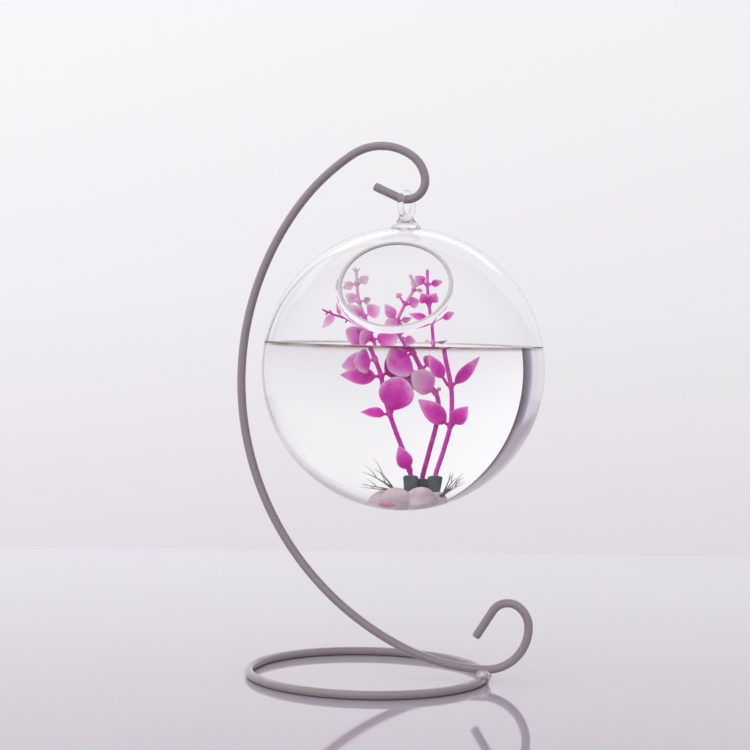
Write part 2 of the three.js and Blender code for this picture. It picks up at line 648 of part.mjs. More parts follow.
function makeBase(ornament) {
  const heap = rockBody();
  let rock = heap;
  for (const [key, { foot }] of Object.entries(STEMS)) {
    const [x, y] = foot;
    const hole = lathe([...socketOutside(SEAT_GAP), [0, SOCKET_HEIGHT]], FOOT_SEGMENTS);
    rock = rock.subtract(solid(hole.translate(x, y, socketFoot)));
    const bore = (stemRadius + SEAT_GAP) / Math.cos(Math.PI / FOOT_SEGMENTS);
    const cup = lathe(
      [...socketOutside(0), [bore, SOCKET_HEIGHT], [bore, SOCKET_FLOOR], [0, SOCKET_FLOOR]], FOOT_SEGMENTS,
    );
    ornament.add(named(`stem_socket_${key}`, cup.translate(x, y, socketFoot), darkSocket));
  }
  for (const [side, { root, blades }] of Object.entries(GRASS)) {
    const [x, y] = root;
    const place = new THREE.Vector3(x, y, rockSurface(heap, x, y) + SEAT_GAP);
    const dimple = new THREE.SphereGeometry(GRASS_ROOT_DIAMETER / 2 + SEAT_GAP, 12, 8);
    rock = rock.subtract(solid(dimple.translate(place.x, place.y, place.z)));
    ornament.add(named(`grass_${side}`, geometryOf(tuftBody(place, blades)), paleGrass));
  }
  ornament.add(named('rock_base', geometryOf(rock), castRock));
}

function makeGlobe() {
  const globe = new THREE.Group();
  const bowl = named('glass_globe', globeGeometry(), glass);
  const elevation = radians(MOUTH_ELEVATION);
  const turn = radians(MOUTH_TURN);
  bowl.quaternion.setFromUnitVectors(new THREE.Vector3(0, 0, 1), new THREE.Vector3(
    Math.sin(turn) * Math.cos(elevation), -Math.cos(turn) * Math.cos(elevation), Math.sin(elevation),
  ));
  const loop = named('hanging_loop', loopGeometry(), glass);
  loop.rotation.z = Math.PI / 2 + radians(LOOP_TURN);
  const ornament = new THREE.Group();
  ornament.rotation.z = radians(ORNAMENT_TURN);
  makeBase(ornament);
  makeStems(ornament);
  globe.add(bowl, loop, ornament);
  globe.position.set(seat.x, 0, globeCentreHeight);
  return globe;
}

// The origin is at the middle of the whole outline on the table
const vase = new THREE.Group();
vase.add(makeStand(), makeGlobe());
vase.position.x = -(armBackX - rodRadius + seat.x + GLOBE_RADIUS) / 2;
vase.updateMatrixWorld(true);

export default vase;
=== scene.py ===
# %% [markdown]
# # A glass globe vase on a wire stand
#
# A blown globe hangs by its glass loop from the hook of a bent rod. It holds water and a plastic water
# plant that stands on a cobbled base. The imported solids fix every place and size, and this lesson dresses
# each of them with a finer surface. All shapes are worked out in millimetres and put into the meshes in
# metres.

# %% Load the solids as a fixed frame
import json
from math import asin, ceil, cos, pi, radians, sin, sqrt

import bpy
import numpy as np
from mathutils import Matrix, Vector


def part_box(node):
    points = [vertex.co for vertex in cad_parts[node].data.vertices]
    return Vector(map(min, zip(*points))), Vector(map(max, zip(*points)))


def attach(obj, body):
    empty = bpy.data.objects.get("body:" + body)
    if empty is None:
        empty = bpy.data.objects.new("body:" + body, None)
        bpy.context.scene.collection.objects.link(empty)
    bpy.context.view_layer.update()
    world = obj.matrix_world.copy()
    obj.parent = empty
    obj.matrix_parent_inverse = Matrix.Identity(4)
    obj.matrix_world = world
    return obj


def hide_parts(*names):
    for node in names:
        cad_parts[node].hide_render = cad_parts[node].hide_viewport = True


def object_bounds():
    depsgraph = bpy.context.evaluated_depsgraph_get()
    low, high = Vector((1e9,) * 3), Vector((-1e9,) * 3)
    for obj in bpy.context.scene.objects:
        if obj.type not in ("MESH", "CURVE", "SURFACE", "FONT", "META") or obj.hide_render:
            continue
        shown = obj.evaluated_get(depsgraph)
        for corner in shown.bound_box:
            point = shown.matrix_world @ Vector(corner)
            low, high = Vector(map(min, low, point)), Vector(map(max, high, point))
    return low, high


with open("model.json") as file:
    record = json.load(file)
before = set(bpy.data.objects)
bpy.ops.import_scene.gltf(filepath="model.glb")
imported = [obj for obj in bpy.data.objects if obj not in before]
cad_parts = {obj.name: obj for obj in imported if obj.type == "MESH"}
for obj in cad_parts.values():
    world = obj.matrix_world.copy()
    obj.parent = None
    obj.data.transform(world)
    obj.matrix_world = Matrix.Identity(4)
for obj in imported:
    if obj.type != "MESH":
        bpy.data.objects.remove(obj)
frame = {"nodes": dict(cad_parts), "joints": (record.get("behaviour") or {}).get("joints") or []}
solid_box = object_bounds()
MM = 0.001
print("solids in the frame:", len(frame["nodes"]))

# %% [markdown]
# ## Camera
#
# The view is level with the globe's shoulder, a little to the right, and rolled slightly. A camera can be
# aimed by a tracking constraint, but a roll is easier to state as three axes, so the axes are written
# into its matrix.

# %% Aim the camera
CAMERA_PLACE = Vector((0.21105, -1.0259, 0.201))
CAMERA_TURN = radians(12)
CAMERA_DIP = radians(2.165)
CAMERA_ROLL = radians(1.15)
CAMERA_LENS = 94.66

level = Vector((cos(CAMERA_TURN), sin(CAMERA_TURN), 0))
flat_ahead = Vector((-sin(CAMERA_TURN), cos(CAMERA_TURN), 0))
ahead = flat_ahead * cos(CAMERA_DIP) - Vector((0, 0, sin(CAMERA_DIP)))
above = level.cross(ahead)


def make_camera():
    """A camera whose picture plane is turned by the roll about the line of sight."""
    across = level * cos(CAMERA_ROLL) + above * sin(CAMERA_ROLL)
    upright = above * cos(CAMERA_ROLL) - level * sin(CAMERA_ROLL)
    data = bpy.data.cameras.new("portrait")
    data.lens = CAMERA_LENS
    camera = bpy.data.objects.new("portrait", data)
    axes = Matrix((across, upright, -ahead)).transposed().to_4x4()
    camera.matrix_world = Matrix.Translation(CAMERA_PLACE) @ axes
    bpy.context.scene.collection.objects.link(camera)
    bpy.context.scene.camera = camera
    return camera


print("camera:", make_camera().matrix_world.translation)

# %% [markdown]
# ## Writing shaders as sums
#
# A finish is a small sum: a pattern times a strength, added to a colour. Wiring Math nodes by hand hides
# that sum, so one class wraps a socket and lets Python's own operators add the nodes.


# %% A socket that can be added and multiplied
class Flow:
    """One output in a node tree. Arithmetic adds Math nodes, and node() adds any other node."""

    def __init__(self, tree, socket=None):
        self.tree = tree
        self.socket = socket

    def node(self, kind, settings=None, sockets=None, output=0):
        """Add a node: its settings first, then a value or a link for each named socket."""
        made = self.tree.nodes.new("ShaderNode" + kind)
        for name, value in (settings or {}).items():
            if name == "stops":
                set_stops(made.color_ramp, value)
            else:
                setattr(made, name, value)
        for name, value in (sockets or {}).items():
            if isinstance(value, Flow):
                self.tree.links.new(value.socket, made.inputs[name])
            else:
                made.inputs[name].default_value = value
        return Flow(self.tree, made.outputs[output] if made.outputs else None)

    def math(self, operation, first, second):
        """One Math node on two values."""
        return self.node("Math", {"operation": operation}, {0: first, 1: second})

    def __add__(self, other):
        return self.math("ADD", self, other)

    def __radd__(self, other):
        return self.math("ADD", other, self)

    def __sub__(self, other):
        return self.math("SUBTRACT", self, other)

    def __rsub__(self, other):
        return self.math("SUBTRACT", other, self)

    def __mul__(self, other):
        return self.math("MULTIPLY", self, other)

    def __rmul__(self, other):
        return self.math("MULTIPLY", other, self)

    def at_most(self, other):
        """The lesser of two values."""
        return self.math("MINIMUM", self, other)

    def along(self, axis):
        """How far this vector reaches along an axis."""
        settings = {"operation": "DOT_PRODUCT"}
        return self.node("VectorMath", settings, {0: self, 1: tuple(axis)}, "Value")

    def mix(self, share, first, second):
        """A colour between two colours."""
        return self.node("Mix", {"data_type": "RGBA"}, {0: share, 6: first, 7: second}, 2)

    def ramp(self, stops):
        """A colour picked along this value."""
        return self.node("ValToRGB", {"stops": stops}, {"Fac": self})

    def between(self, low, high):
        """This value stretched so that low becomes 0 and high becomes 1, with soft ends."""
        return self.node(
            "MapRange",
            {"interpolation_type": "SMOOTHSTEP"},
            {"Value": self, "From Min": low, "From Max": high},
        )


def set_stops(ramp, stops):
    """Give a colour ramp these (place, colour) stops."""
    for place, _ in stops[2:]:
        ramp.elements.new(place)
    for element, (place, colour) in zip(ramp.elements, sorted(stops)):
        element.position = place
        element.color = colour


def tone(red, green, blue):
    """A colour written as 0 to 255 screen values, as the linear colour that shaders use."""
    screen = np.array((red, green, blue)) / 255
    linear = np.where(screen <= 0.04045, screen / 12.92, ((screen + 0.055) / 1.055) ** 2.4)
    return (*linear.tolist(), 1)


print("a mid grey is", round(tone(128, 128, 128)[0], 3), "in linear light")

# %% [markdown]
# ## Studio
#
# The vase stands on a glossy white table in front of a pale backdrop. The backdrop could be a curved
# sheet, but then it would shade the object too. Here the world gives plain even light, and rays from the
# camera, from reflections and through glass see a soft upright gradient instead. Past the backdrop's left
# end the room is dark, and so is the ceiling over its right side. Only rays that come straight through
# glass show that, so it draws the globe's edges, as a photographer's black card does, and takes no light
# from what is inside.

# %% World light and backdrop
ROOM_LIGHT = 0.6
ROOM_COLOUR = (0.97, 0.955, 1.0, 1)
BACKDROP = [
    (-0.121, tone(226, 221, 228)),
    (-0.061, tone(233, 229, 234)),
    (0.0, tone(238, 236, 240)),
    (0.14, tone(245, 244, 247)),
    (0.5, tone(250, 249, 251)),
]
BACKDROP_LEAN = 0.16
LEAN_REACH = 0.2
BACKDROP_END = radians(33.1)
LOW_ROOM = [
    (BACKDROP_END, tone(70, 54, 58)),
    (radians(34.6), tone(100, 86, 94)),
    (radians(36.6), tone(106, 100, 122)),
    (radians(39.5), tone(142, 134, 152)),
    (radians(42), tone(204, 198, 208)),
    (radians(60), tone(214, 211, 219)),
    (radians(100), tone(226, 223, 229)),
]
HIGH_ROOM = [
    (BACKDROP_END, tone(56, 40, 48)),
    (radians(35.5), tone(128, 116, 124)),
    (radians(38), tone(162, 150, 160)),
    (radians(48), tone(156, 145, 158)),
    (radians(60), tone(184, 175, 186)),
    (radians(100), tone(206, 200, 210)),
]
CEILING = tone(184, 177, 186)
CEILING_STEP = (0.58, 0.9)
CEILING_FALL = 0.3
ROOM_STEP = (0.2, 0.3)
ROOM_SLANT = radians(12)
EDGE_BLUR = 0.008


def graded(value, stops):
    """A colour picked along a value, with the stops' places in the value's own units."""
    lowest = stops[0][0]
    reach = stops[-1][0] - lowest
    shares = [((place - lowest) / reach, colour) for place, colour in stops]
    return ((value - lowest) * (1 / reach)).ramp(shares)


def make_world():
    """Even light for the object, and a gradient, dark past its left end, for rays that see the room."""
    world = bpy.data.worlds.new("studio")
    world.use_nodes = True
    world.node_tree.nodes.clear()
    start = Flow(world.node_tree)
    direction = start.node("TexCoord")
    height, side, depth = [direction.along(axis) for axis in ((0, 0, 1), level, flat_ahead)]
    camera_ray, mirror_ray, glass_ray = [
        start.node("LightPath", output=f"Is {name} Ray") for name in ("Camera", "Glossy", "Transmission")
    ]
    straight = glass_ray * (1 - start.node("LightPath", output="Diffuse Depth").at_most(1))
    turn_left = start.math("ARCTAN2", 0 - side, depth)
    leftward = turn_left + ROOM_SLANT * height * height
    up_right = height - CEILING_FALL * (turn_left + CEILING_FALL).at_most(0)
    room = start.mix(height.between(*ROOM_STEP), graded(leftward, LOW_ROOM), graded(leftward, HIGH_ROOM))
    past_end = leftward.between(BACKDROP_END - EDGE_BLUR, BACKDROP_END) * straight
    over_top = up_right.between(*CEILING_STEP) * straight
    seen_colour = start.mix(past_end, start.mix(over_top, graded(height, BACKDROP), CEILING), room)
    strength = 1 - BACKDROP_LEAN * side.at_most(LEAN_REACH)
    seen = start.node("Background", None, {"Color": seen_colour, "Strength": strength})
    lighting = start.node("Background", None, {"Color": ROOM_COLOUR, "Strength": ROOM_LIGHT})
    looks = (camera_ray + mirror_ray + glass_ray).at_most(1)
    shown = start.node("MixShader", None, {0: looks, 1: lighting, 2: seen})
    start.node("OutputWorld", None, {"Surface": shown})
    bpy.context.scene.world = world
    return world


bpy.context.scene.view_settings.view_transform = "Standard"
print("world:", make_world().name)

# %% [markdown]
# The lamps are two large soft sheets, one overhead and one in front. Small lamps would draw hard shadows
# that a white studio doesn't have. Their own squares would show in the glass, so reflections and rays
# through glass pass them by. Only a narrow strip behind the stand shows in reflections: it draws a fine
# bright line along the tops of the rods and a soft white band over the globe's shoulder. Each lamp is a
# place and two sides in metres, its power in watts, and whether reflections show it.

# %% Lamps
LAMPS = {
    "overhead_sheet": (Vector((-0.3, -0.3, 1.5)), (1.6, 1.6), 9.5, False),
    "front_sheet": (Vector((-0.35, -1.7, 0.7)), (1.2, 1.2), 12, False),
    "back_strip": (Vector((-0.5, 1.2, 1.1)), (2.4, 0.3), 2.5, True),
}


def make_lamp(name, place, sides, power, mirrored):
    """A sheet of light that faces the middle of the object, seen in reflections or not."""
    data = bpy.data.lights.new(name, "AREA")
    data.shape = "RECTANGLE"
    data.size, data.size_y = sides
    data.energy = power
    lamp = bpy.data.objects.new(name, data)
    lamp.location = place
    middle = (solid_box[0] + solid_box[1]) / 2
    lamp.rotation_euler = (middle - place).to_track_quat("-Z", "Y").to_euler()
    lamp.visible_glossy = mirrored
    lamp.visible_transmission = False
    bpy.context.scene.collection.objects.link(lamp)
    return lamp


print("lamps:", [make_lamp(name, *lamp).data.energy for name, lamp in LAMPS.items()], "W")


# %% [markdown]
# ## Materials
#
# Each finish starts from one Principled shader. What is the same all over is a number on its socket, and
# only what changes over the surface is wired in.


# %% A new material
SOFT_CONTRAST = (0.3, 0.7)


def new_material(name, fixed):
    """A material, the flow that adds nodes to it, and its Principled shader with the fixed sockets set."""
    material = bpy.data.materials.new(name)
    material.use_nodes = True
    shader = material.node_tree.nodes["Principled BSDF"]
    for socket, value in fixed.items():
        shader.inputs[socket].default_value = value
    return material, Flow(material.node_tree), shader


def wire(flow, shader, **sockets):
    """Link flows into a shader's sockets; a name's underscores stand for spaces."""
    for name, value in sockets.items():
        flow.tree.links.new(value.socket, shader.inputs[name.replace("_", " ")])


def noise(flow, patches, detail=2.0):
    """A soft cloudy pattern from 0 to 1 on Object coordinates, with so many patches a metre."""
    place = flow.node("TexCoord", output="Object")
    return flow.node("TexNoise", None, {"Vector": place, "Scale": patches, "Detail": detail})


def bump(flow, height, depth):
    """A normal that leans as if the surface stood up by height times depth, in metres."""
    return flow.node("Bump", None, {"Height": height, "Distance": depth, "Strength": 1.0})


def attribute(flow, name):
    """A value that was stored on the piece's points."""
    return flow.node("Attribute", {"attribute_name": name}, output="Fac")


def let_lamps_through(flow, shader, share):
    """Show shadow rays a clear sheet that passes this share of the light, because glass would stop them."""
    shadow = flow.node("LightPath", output="Is Shadow Ray")
    sheet = flow.node("BsdfTransparent", None, {"Color": (share, share, share, 1)})
    shown = flow.node("MixShader", None, {0: shadow, 1: Flow(flow.tree, shader.outputs[0]), 2: sheet})
    flow.tree.links.new(shown.socket, flow.tree.nodes["Material Output"].inputs["Surface"])


# %% Table top
TABLE_BACK = 0.5233
TABLE_SKEW = radians(3)
TABLE_REACH = 1.6
TABLE_MIRROR = 0.4
TABLE_SHADE_SPAN = (-0.5, 0.45)


def table_finish():
    """White lacquer with a clear reflection and a faintly cloudy polish, and painted shade that darkens
    it towards the front.
    """
    material, flow, shader = new_material("white_lacquer", {"IOR": 1.45, "Metallic": TABLE_MIRROR})
    cloud = noise(flow, patches=6)
    nearness = flow.node("TexCoord", output="Object").along(-flat_ahead)
    # painted shade: the colour darkens towards the front, standing in for light that falls off there
    shade = flow.mix(nearness.between(*TABLE_SHADE_SPAN), tone(217, 211, 219), tone(178, 167, 180))
    wire(
        flow,
        shader,
        Base_Color=flow.mix(cloud * 0.15, shade, tone(236, 230, 238)),
        Roughness=0.04 + cloud * 0.03,
    )
    return material


def make_table():
    """A flat sheet under the object whose far edge runs across the view behind it."""
    edge = level * cos(TABLE_SKEW) + flat_ahead * sin(TABLE_SKEW)
    away = flat_ahead * cos(TABLE_SKEW) - level * sin(TABLE_SKEW)
    back = away * TABLE_BACK
    front = -away * TABLE_REACH
    side = edge * TABLE_REACH
    mesh = bpy.data.meshes.new("table_top")
    mesh.from_pydata([front - side, front + side, back + side, back - side], [], [(0, 1, 2, 3)])
    mesh.materials.append(table_finish())
    table = bpy.data.objects.new("table_top", mesh)
    bpy.context.scene.collection.objects.link(table)
    return table


print("table:", [round(side, 2) for side in make_table().dimensions])

# %% [markdown]
# ## Skins from rings
#
# Rods, stems, leaves and turned glass are all one kind of surface: a closed section carried along a path.
# The rings of points are worked out as whole arrays, and one function sews them together. Blender's
# curves could bevel a path too, but a ring array also takes a section that changes along the way.


# %% Sew rings into a skin
class Shell:
    """Points in millimetres, blocks of faces between them, and values that vary over the points."""

    def __init__(self, points, faces, values=None):
        self.points = points
        self.faces = faces
        self.values = values or {}

    def placed(self, turn, shift=(0, 0, 0)):
        """The shell turned by a 3 by 3 matrix and then shifted."""
        return Shell(self.points @ np.asarray(turn).T + np.asarray(shift), self.faces, self.values)


def skin(rings, start=None, end=None, values=None):
    """Quads between neighbouring rings, and a fan from each end ring to its pole.

    rings is an array of rings by points by 3. Each ring runs anticlockwise seen from ahead along the
    path. A pole is the ring's middle unless it is given.
    """
    count, around = rings.shape[:2]
    index = np.arange(count * around).reshape(count, around)
    nearer = index[:-1]
    farther = index[1:]
    quads = np.stack((nearer, np.roll(nearer, -1, 1), np.roll(farther, -1, 1), farther), -1).reshape(-1, 4)
    start_pole = rings[0].mean(0) if start is None else np.asarray(start)
    end_pole = rings[-1].mean(0) if end is None else np.asarray(end)
    start_fan = np.stack((np.full(around, index.size), np.roll(index[0], -1), index[0]), -1)
    end_fan = np.stack((np.full(around, index.size + 1), index[-1], np.roll(index[-1], -1)), -1)
    points = np.concatenate((rings.reshape(-1, 3), start_pole[None], end_pole[None]))
    full = {}
    for name, value in (values or {}).items():
        spread = np.broadcast_to(value, (count, around))
        full[name] = np.concatenate((spread.ravel(), [spread[0].mean(), spread[-1].mean()]))
    return Shell(points, [quads, start_fan, end_fan], full)


def joined(shells):
    """Several shells as one."""
    starts = np.cumsum([0] + [len(shell.points) for shell in shells])
    faces = [block + start for shell, start in zip(shells, starts) for block in shell.faces]
    names = sorted({name for shell in shells for name in shell.values})
    values = {}
    for name in names:
        values[name] = np.concatenate(
            [shell.values.get(name, np.zeros(len(shell.points))) for shell in shells]
        )
    return Shell(np.concatenate([shell.points for shell in shells]), faces, values)


def new_object(name, shell):
    """A mesh object of a shell, smoothly shaded, at the origin."""
    faces = [face for block in shell.faces for face in block.tolist()]
    mesh = bpy.data.meshes.new(name)
    mesh.from_pydata((shell.points * MM).tolist(), [], faces)
    mesh.polygons.foreach_set("use_smooth", np.ones(len(faces), bool))
    for value_name, value in shell.values.items():
        mesh.attributes.new(value_name, "FLOAT", "POINT").data.foreach_set("value", value.astype(np.float32))
    mesh.update()
    made = bpy.data.objects.new(name, mesh)
    bpy.context.scene.collection.objects.link(made)
    return made


def add_piece(name, shell, material, body, slot, *nodes):
    """A finished piece that rides on a body and stands for solids of the frame."""
    piece = new_object(name, shell)
    piece.data.materials.append(material)
    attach(piece, body)
    if nodes:
        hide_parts(*nodes)
    print(f"{name}: {len(piece.data.polygons)} faces")
    return piece


# %% [markdown]
# A rod needs more rings near its ends than along its run, so a path is sampled again at chosen lengths.


# %% Carry a round section along a path
EDGE_ROWS = 6


def lengths_along(path):
    """How far along the path each of its points lies."""
    steps = np.linalg.norm(np.diff(path, axis=0), axis=1)
    return np.concatenate(([0], np.cumsum(steps)))


def sampled(path, lengths):
    """The path's points at these lengths."""
    along = lengths_along(path)
    return np.stack([np.interp(lengths, along, path[:, axis]) for axis in range(3)], -1)


def unit(vectors):
    """Vectors drawn out or in to a length of one."""
    return vectors / np.linalg.norm(vectors, axis=-1, keepdims=True)


def tube(path, radii, sides, side_axis=(0, 1, 0), values=None):
    """Rings round each point of a path: the point plus radius times (cos turn N + sin turn B), where B is
    side_axis made square to the path and N is square to both."""
    tangent = unit(np.gradient(path, axis=0))
    axis = np.asarray(side_axis, float)
    second = unit(axis - (tangent @ axis)[:, None] * tangent)
    first = np.cross(second, tangent)
    turn = np.linspace(0, 2 * pi, sides, endpoint=False)
    around = np.cos(turn)[:, None] * first[:, None] + np.sin(turn)[:, None] * second[:, None]
    rings = path[:, None] + np.broadcast_to(radii, len(path))[:, None, None] * around
    return skin(rings, values=values)


def rod(path, radius, edge, spacing, sides, side_axis=(0, 1, 0)):
    """A rod of even thickness whose two cut ends have a rounded edge."""
    total = lengths_along(path)[-1]
    rounding = edge * (1 - np.cos(np.linspace(0, pi / 2, EDGE_ROWS)))
    run = np.linspace(edge, total - edge, ceil(total / spacing))
    lengths = np.concatenate((rounding, run[1:-1], total - rounding[::-1]))
    inset = np.clip(edge - np.minimum(lengths, total - lengths), 0, None)
    radii = radius - edge + np.sqrt(edge**2 - inset**2)
    return tube(sampled(path, lengths), radii, sides, side_axis)


print("a rod of 10 mm has", len(rod(np.array([[0, 0, 0], [10.0, 0, 0]]), 2, 0.5, 1, 12).points), "points")

# %% [markdown]
# ## Stand
#
# The stand is one steel rod bent to a scroll, a long sweep and a hook, and a ring of the same rod. A bent
# rod is a run of circle arcs, each tangent to the last, and that is how it is worked out: the radii of
# the three wide sweeps follow from where the arm starts, how far back it passes and where the hook's seat
# lies in the frame.

# %% Places from the frame
SEAT_GAP = 0.3
ring_low, ring_high = [np.array(corner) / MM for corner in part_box("base_ring")]
arm_low = np.array(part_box("stand_arm")[0]) / MM
ROD_DIAMETER = ring_high[2] - ring_low[2]
rod_radius = ROD_DIAMETER / 2
ring_radius = (ring_high[1] - ring_low[1] - ROD_DIAMETER) / 2
ring_middle_x = ring_low[0] + rod_radius + ring_radius
hook_seat = np.array(frame["joints"][0]["pos_m"]) / MM
weld = np.array((ring_middle_x + ring_radius, 0, rod_radius + ROD_DIAMETER + SEAT_GAP))
arm_back_x = arm_low[0] + rod_radius
print("rod", round(ROD_DIAMETER, 2), "ring radius", round(ring_radius, 2), "weld at", np.round(weld, 2))

# %% Bend the arm
LOWER_SWEEP = 24.6
BACK_SWEEP = 101.3
SHOULDER_SWEEP = 20.3
CROWN_SWEEP = 67.9
CROWN_RADIUS = 29
HOOK_SIDE_SWEEP = 49
HOOK_SIDE_RADIUS = 17.3
HOOK_SEAT_RADIUS = 9.8
HOOK_TIP_RISE = 24
HOOK_TIP_LENGTH = 14.7
SCROLL_BENDS = [(23.3, 91), (13.3, 48.7), (9.7, 98.5)]
SCROLL_TIP_LENGTH = 16.8


def heading(degrees):
    """Unit directions in the X-Z plane."""
    angle = np.radians(degrees)
    return np.stack((np.cos(angle), np.zeros_like(angle), np.sin(angle)), -1)


def unit_bend(start, end):
    """How far a clockwise bend of unit radius carries the rod between two headings."""
    return heading(start - 90.0) - heading(end - 90.0)


def bend_rod(start, first_heading, turn, bends, tip_length):
    """Points along a run of arcs and a straight tip. An arc's centre lies one radius to its inner side."""
    runs = [start[None]]
    now = float(first_heading)
    for radius, degrees in bends:
        place = runs[-1][-1]
        angles = now - turn * np.linspace(0, degrees, ceil(degrees) + 2)[1:]
        runs.append(place + turn * radius * (heading(now - 90) - heading(angles - 90)))
        now = angles[-1]
    runs.append((runs[-1][-1] + tip_length * heading(now))[None])
    return np.concatenate(runs)


def arm_path():
    """The scroll, reversed, then the sweep to the hook, with the wide radii solved from three places."""
    sweeps = [LOWER_SWEEP, BACK_SWEEP, SHOULDER_SWEEP, CROWN_SWEEP, HOOK_SIDE_SWEEP]
    turns = 180 - np.cumsum([0] + sweeps)
    lower, back, shoulder, crown, side = [unit_bend(a, b) for a, b in zip(turns[:-1], turns[1:])]
    tight = crown * CROWN_RADIUS + side * HOOK_SIDE_RADIUS + unit_bend(turns[-1], -180) * HOOK_SEAT_RADIUS
    travel = hook_seat - weld - tight
    equations = np.array([
        [lower[0], back[0], shoulder[0]],
        [lower[2], back[2], shoulder[2]],
        [lower[0], unit_bend(turns[1], 90)[0], 0],
    ])
    wide = np.linalg.solve(equations, [travel[0], travel[2], arm_back_x - weld[0]])
    radii = [*wide, CROWN_RADIUS, HOOK_SIDE_RADIUS, HOOK_SEAT_RADIUS]
    degrees = [*sweeps, 360 + HOOK_TIP_RISE - sum(sweeps)]
    hook_run = bend_rod(weld, 180, 1, list(zip(radii, degrees)), HOOK_TIP_LENGTH)
    scroll_run = bend_rod(weld, 0, -1, SCROLL_BENDS, SCROLL_TIP_LENGTH)
    return np.concatenate((scroll_run[::-1], hook_run[1:]))


arm_run = arm_path()
print("arm length", round(lengths_along(arm_run)[-1]), "mm")

# %% [markdown]
# The rods are sprayed with a satin paint. Sprayed paint is never quite even: it has a fine orange peel,
# slightly duller patches, and a shade that drifts along the rod.


# %% Paint for the rods
def rod_finish():
    """Grey-lilac satin paint with orange peel under a thin gloss."""
    fixed = {"IOR": 1.5, "Specular IOR Level": 0.3, "Coat Weight": 1.0, "Coat Roughness": 0.05}
    material, flow, shader = new_material("satin_paint", fixed)
    drift = noise(flow, patches=25)
    peel = noise(flow, patches=400, detail=1.0)
    wire(
        flow,
        shader,
        Base_Color=flow.mix(drift, tone(131, 118, 124), tone(147, 135, 140)),
        Roughness=0.4 + drift * 0.12,
        Normal=bump(flow, peel, depth=0.000006),
    )
    return material


ROD_SIDES = 40
ROD_SPACING = 1.5
CUT_EDGE = 0.7
RING_END_GAP = 1.2
RING_STEPS = 361

satin_paint = rod_finish()
arm_skin = rod(arm_run, rod_radius, CUT_EDGE, ROD_SPACING, ROD_SIDES)
add_piece("arm_rod", arm_skin, satin_paint, "stand", "rod_paint", "stand_arm")


def ring_path():
    """A circle that starts and ends at the weld with a small gap."""
    half_gap = RING_END_GAP / 2 / ring_radius
    turn = np.linspace(half_gap, 2 * pi - half_gap, RING_STEPS)
    across = ring_middle_x + ring_radius * np.cos(turn)
    return np.stack((across, ring_radius * np.sin(turn), np.full_like(turn, rod_radius)), -1)


ring_skin = rod(ring_path(), rod_radius, CUT_EDGE, ROD_SPACING, ROD_SIDES, (0, 0, 1))
add_piece("ring_rod", ring_skin, satin_paint, "stand", "rod_paint", "base_ring")

# %% [markdown]
# Where the arm lies across the ring's two ends, a weld holds them. It was laid down drop by drop, so it
# is a flattened ball with ripples round it, and it wraps the ends down to just above the table.

# %% Weld bead
WELD_SPREAD = 4.2
WELD_HALF_HEIGHT = 3.5
WELD_MIDDLE = 4.0
WELD_FORWARD = -1.2
WELD_RIPPLES = 5
WELD_RIPPLE_DEPTH = 0.06
WELD_RIPPLE_LEAN = 4
WELD_GRID = (22, 56)


def ball(rows, columns):
    """Directions over a sphere on a grid of heights and turns, with the two poles left out."""
    tilt = np.linspace(-pi / 2, pi / 2, rows + 2)[1:-1, None]
    turn = np.linspace(0, 2 * pi, columns, endpoint=False)[None]
    return np.stack(
        (np.cos(tilt) * np.cos(turn), np.cos(tilt) * np.sin(turn), np.sin(tilt) * np.ones_like(turn)), -1
    )


def ball_shell(grid, half_sizes, lift=1.0):
    """A ball drawn out to its half sizes, its radius lifted by a factor at each direction of the grid."""
    rings = grid * half_sizes * np.broadcast_to(lift, grid.shape[:2])[..., None]
    return skin(rings, (0, 0, -half_sizes[2]), (0, 0, half_sizes[2]))


def weld_shell():
    """A drawn-out ball whose radius rises and falls with the sine of the turn and the height."""
    grid = ball(*WELD_GRID)
    turn = np.arctan2(grid[..., 1], grid[..., 0])
    ripple = 1 + WELD_RIPPLE_DEPTH * np.sin(WELD_RIPPLES * turn + WELD_RIPPLE_LEAN * grid[..., 2])
    drop = ball_shell(grid, np.array((WELD_SPREAD, WELD_SPREAD, WELD_HALF_HEIGHT)), ripple)
    return drop.placed(np.eye(3), (weld[0], WELD_FORWARD, WELD_MIDDLE))


def weld_finish():
    """The same paint, thinner over the bead, with the metal shining through in patches."""
    material, flow, shader = new_material("painted_weld", {"IOR": 1.5})
    shine = noise(flow, patches=500, detail=3.0).between(0.4, 0.7)
    wire(
        flow,
        shader,
        Base_Color=flow.mix(shine, tone(172, 162, 169), tone(226, 221, 226)),
        Roughness=0.3 - shine * 0.16,
        Metallic=shine * 0.8,
        Normal=bump(flow, noise(flow, patches=450, detail=1.0), depth=0.0004),
    )
    return material


add_piece("weld_drop", weld_shell(), weld_finish(), "stand", "weld", "weld_bead")

# %% [markdown]
# ## Globe
#
# The globe is blown glass, so its wall is one turned profile: the outside from the bottom to the mouth, a
# fire-polished bead round the rim, and the inside back down. A sphere with a Solidify modifier would give
# the wall but not the bead. The profile is turned about the mouth's axis and tilted into place. The glass
# bends light less than real glass does. That also weakens what it reflects: at the real value, 1.5, the
# lamp strip would wash the globe's shoulder out to white.

# %% Globe shell
GLOBE_RADIUS = 75
GLASS_WALL = 1.8
NECK_HEIGHT = 7.5
LOOP_HOLE_HEIGHT = 9.8
MOUTH_RADIUS = 28.2
MOUTH_ELEVATION = 39.8
MOUTH_TURN = 6
RIM_BEAD_RADIUS = 1.28
RIM_BEAD_SWING = 0.34
GLOBE_COLUMNS = 192
WALL_ROWS = 90
RIM_ROWS = 24
ROW_GRADING = 1.7
RIM_SPREAD = 1.6
RIM_HIGHLIGHT_ROWS = 7
INNER_RIM_SHADE = 0.7
RIM_SHADE_REACH = 0.9
RIM_SHADE_TO_HIGHLIGHT = (0.35, 0.75)
RIM_HAZE = 0.3
GLASS_BENDING = 1.19
LIGHT_PASSED = 0.995

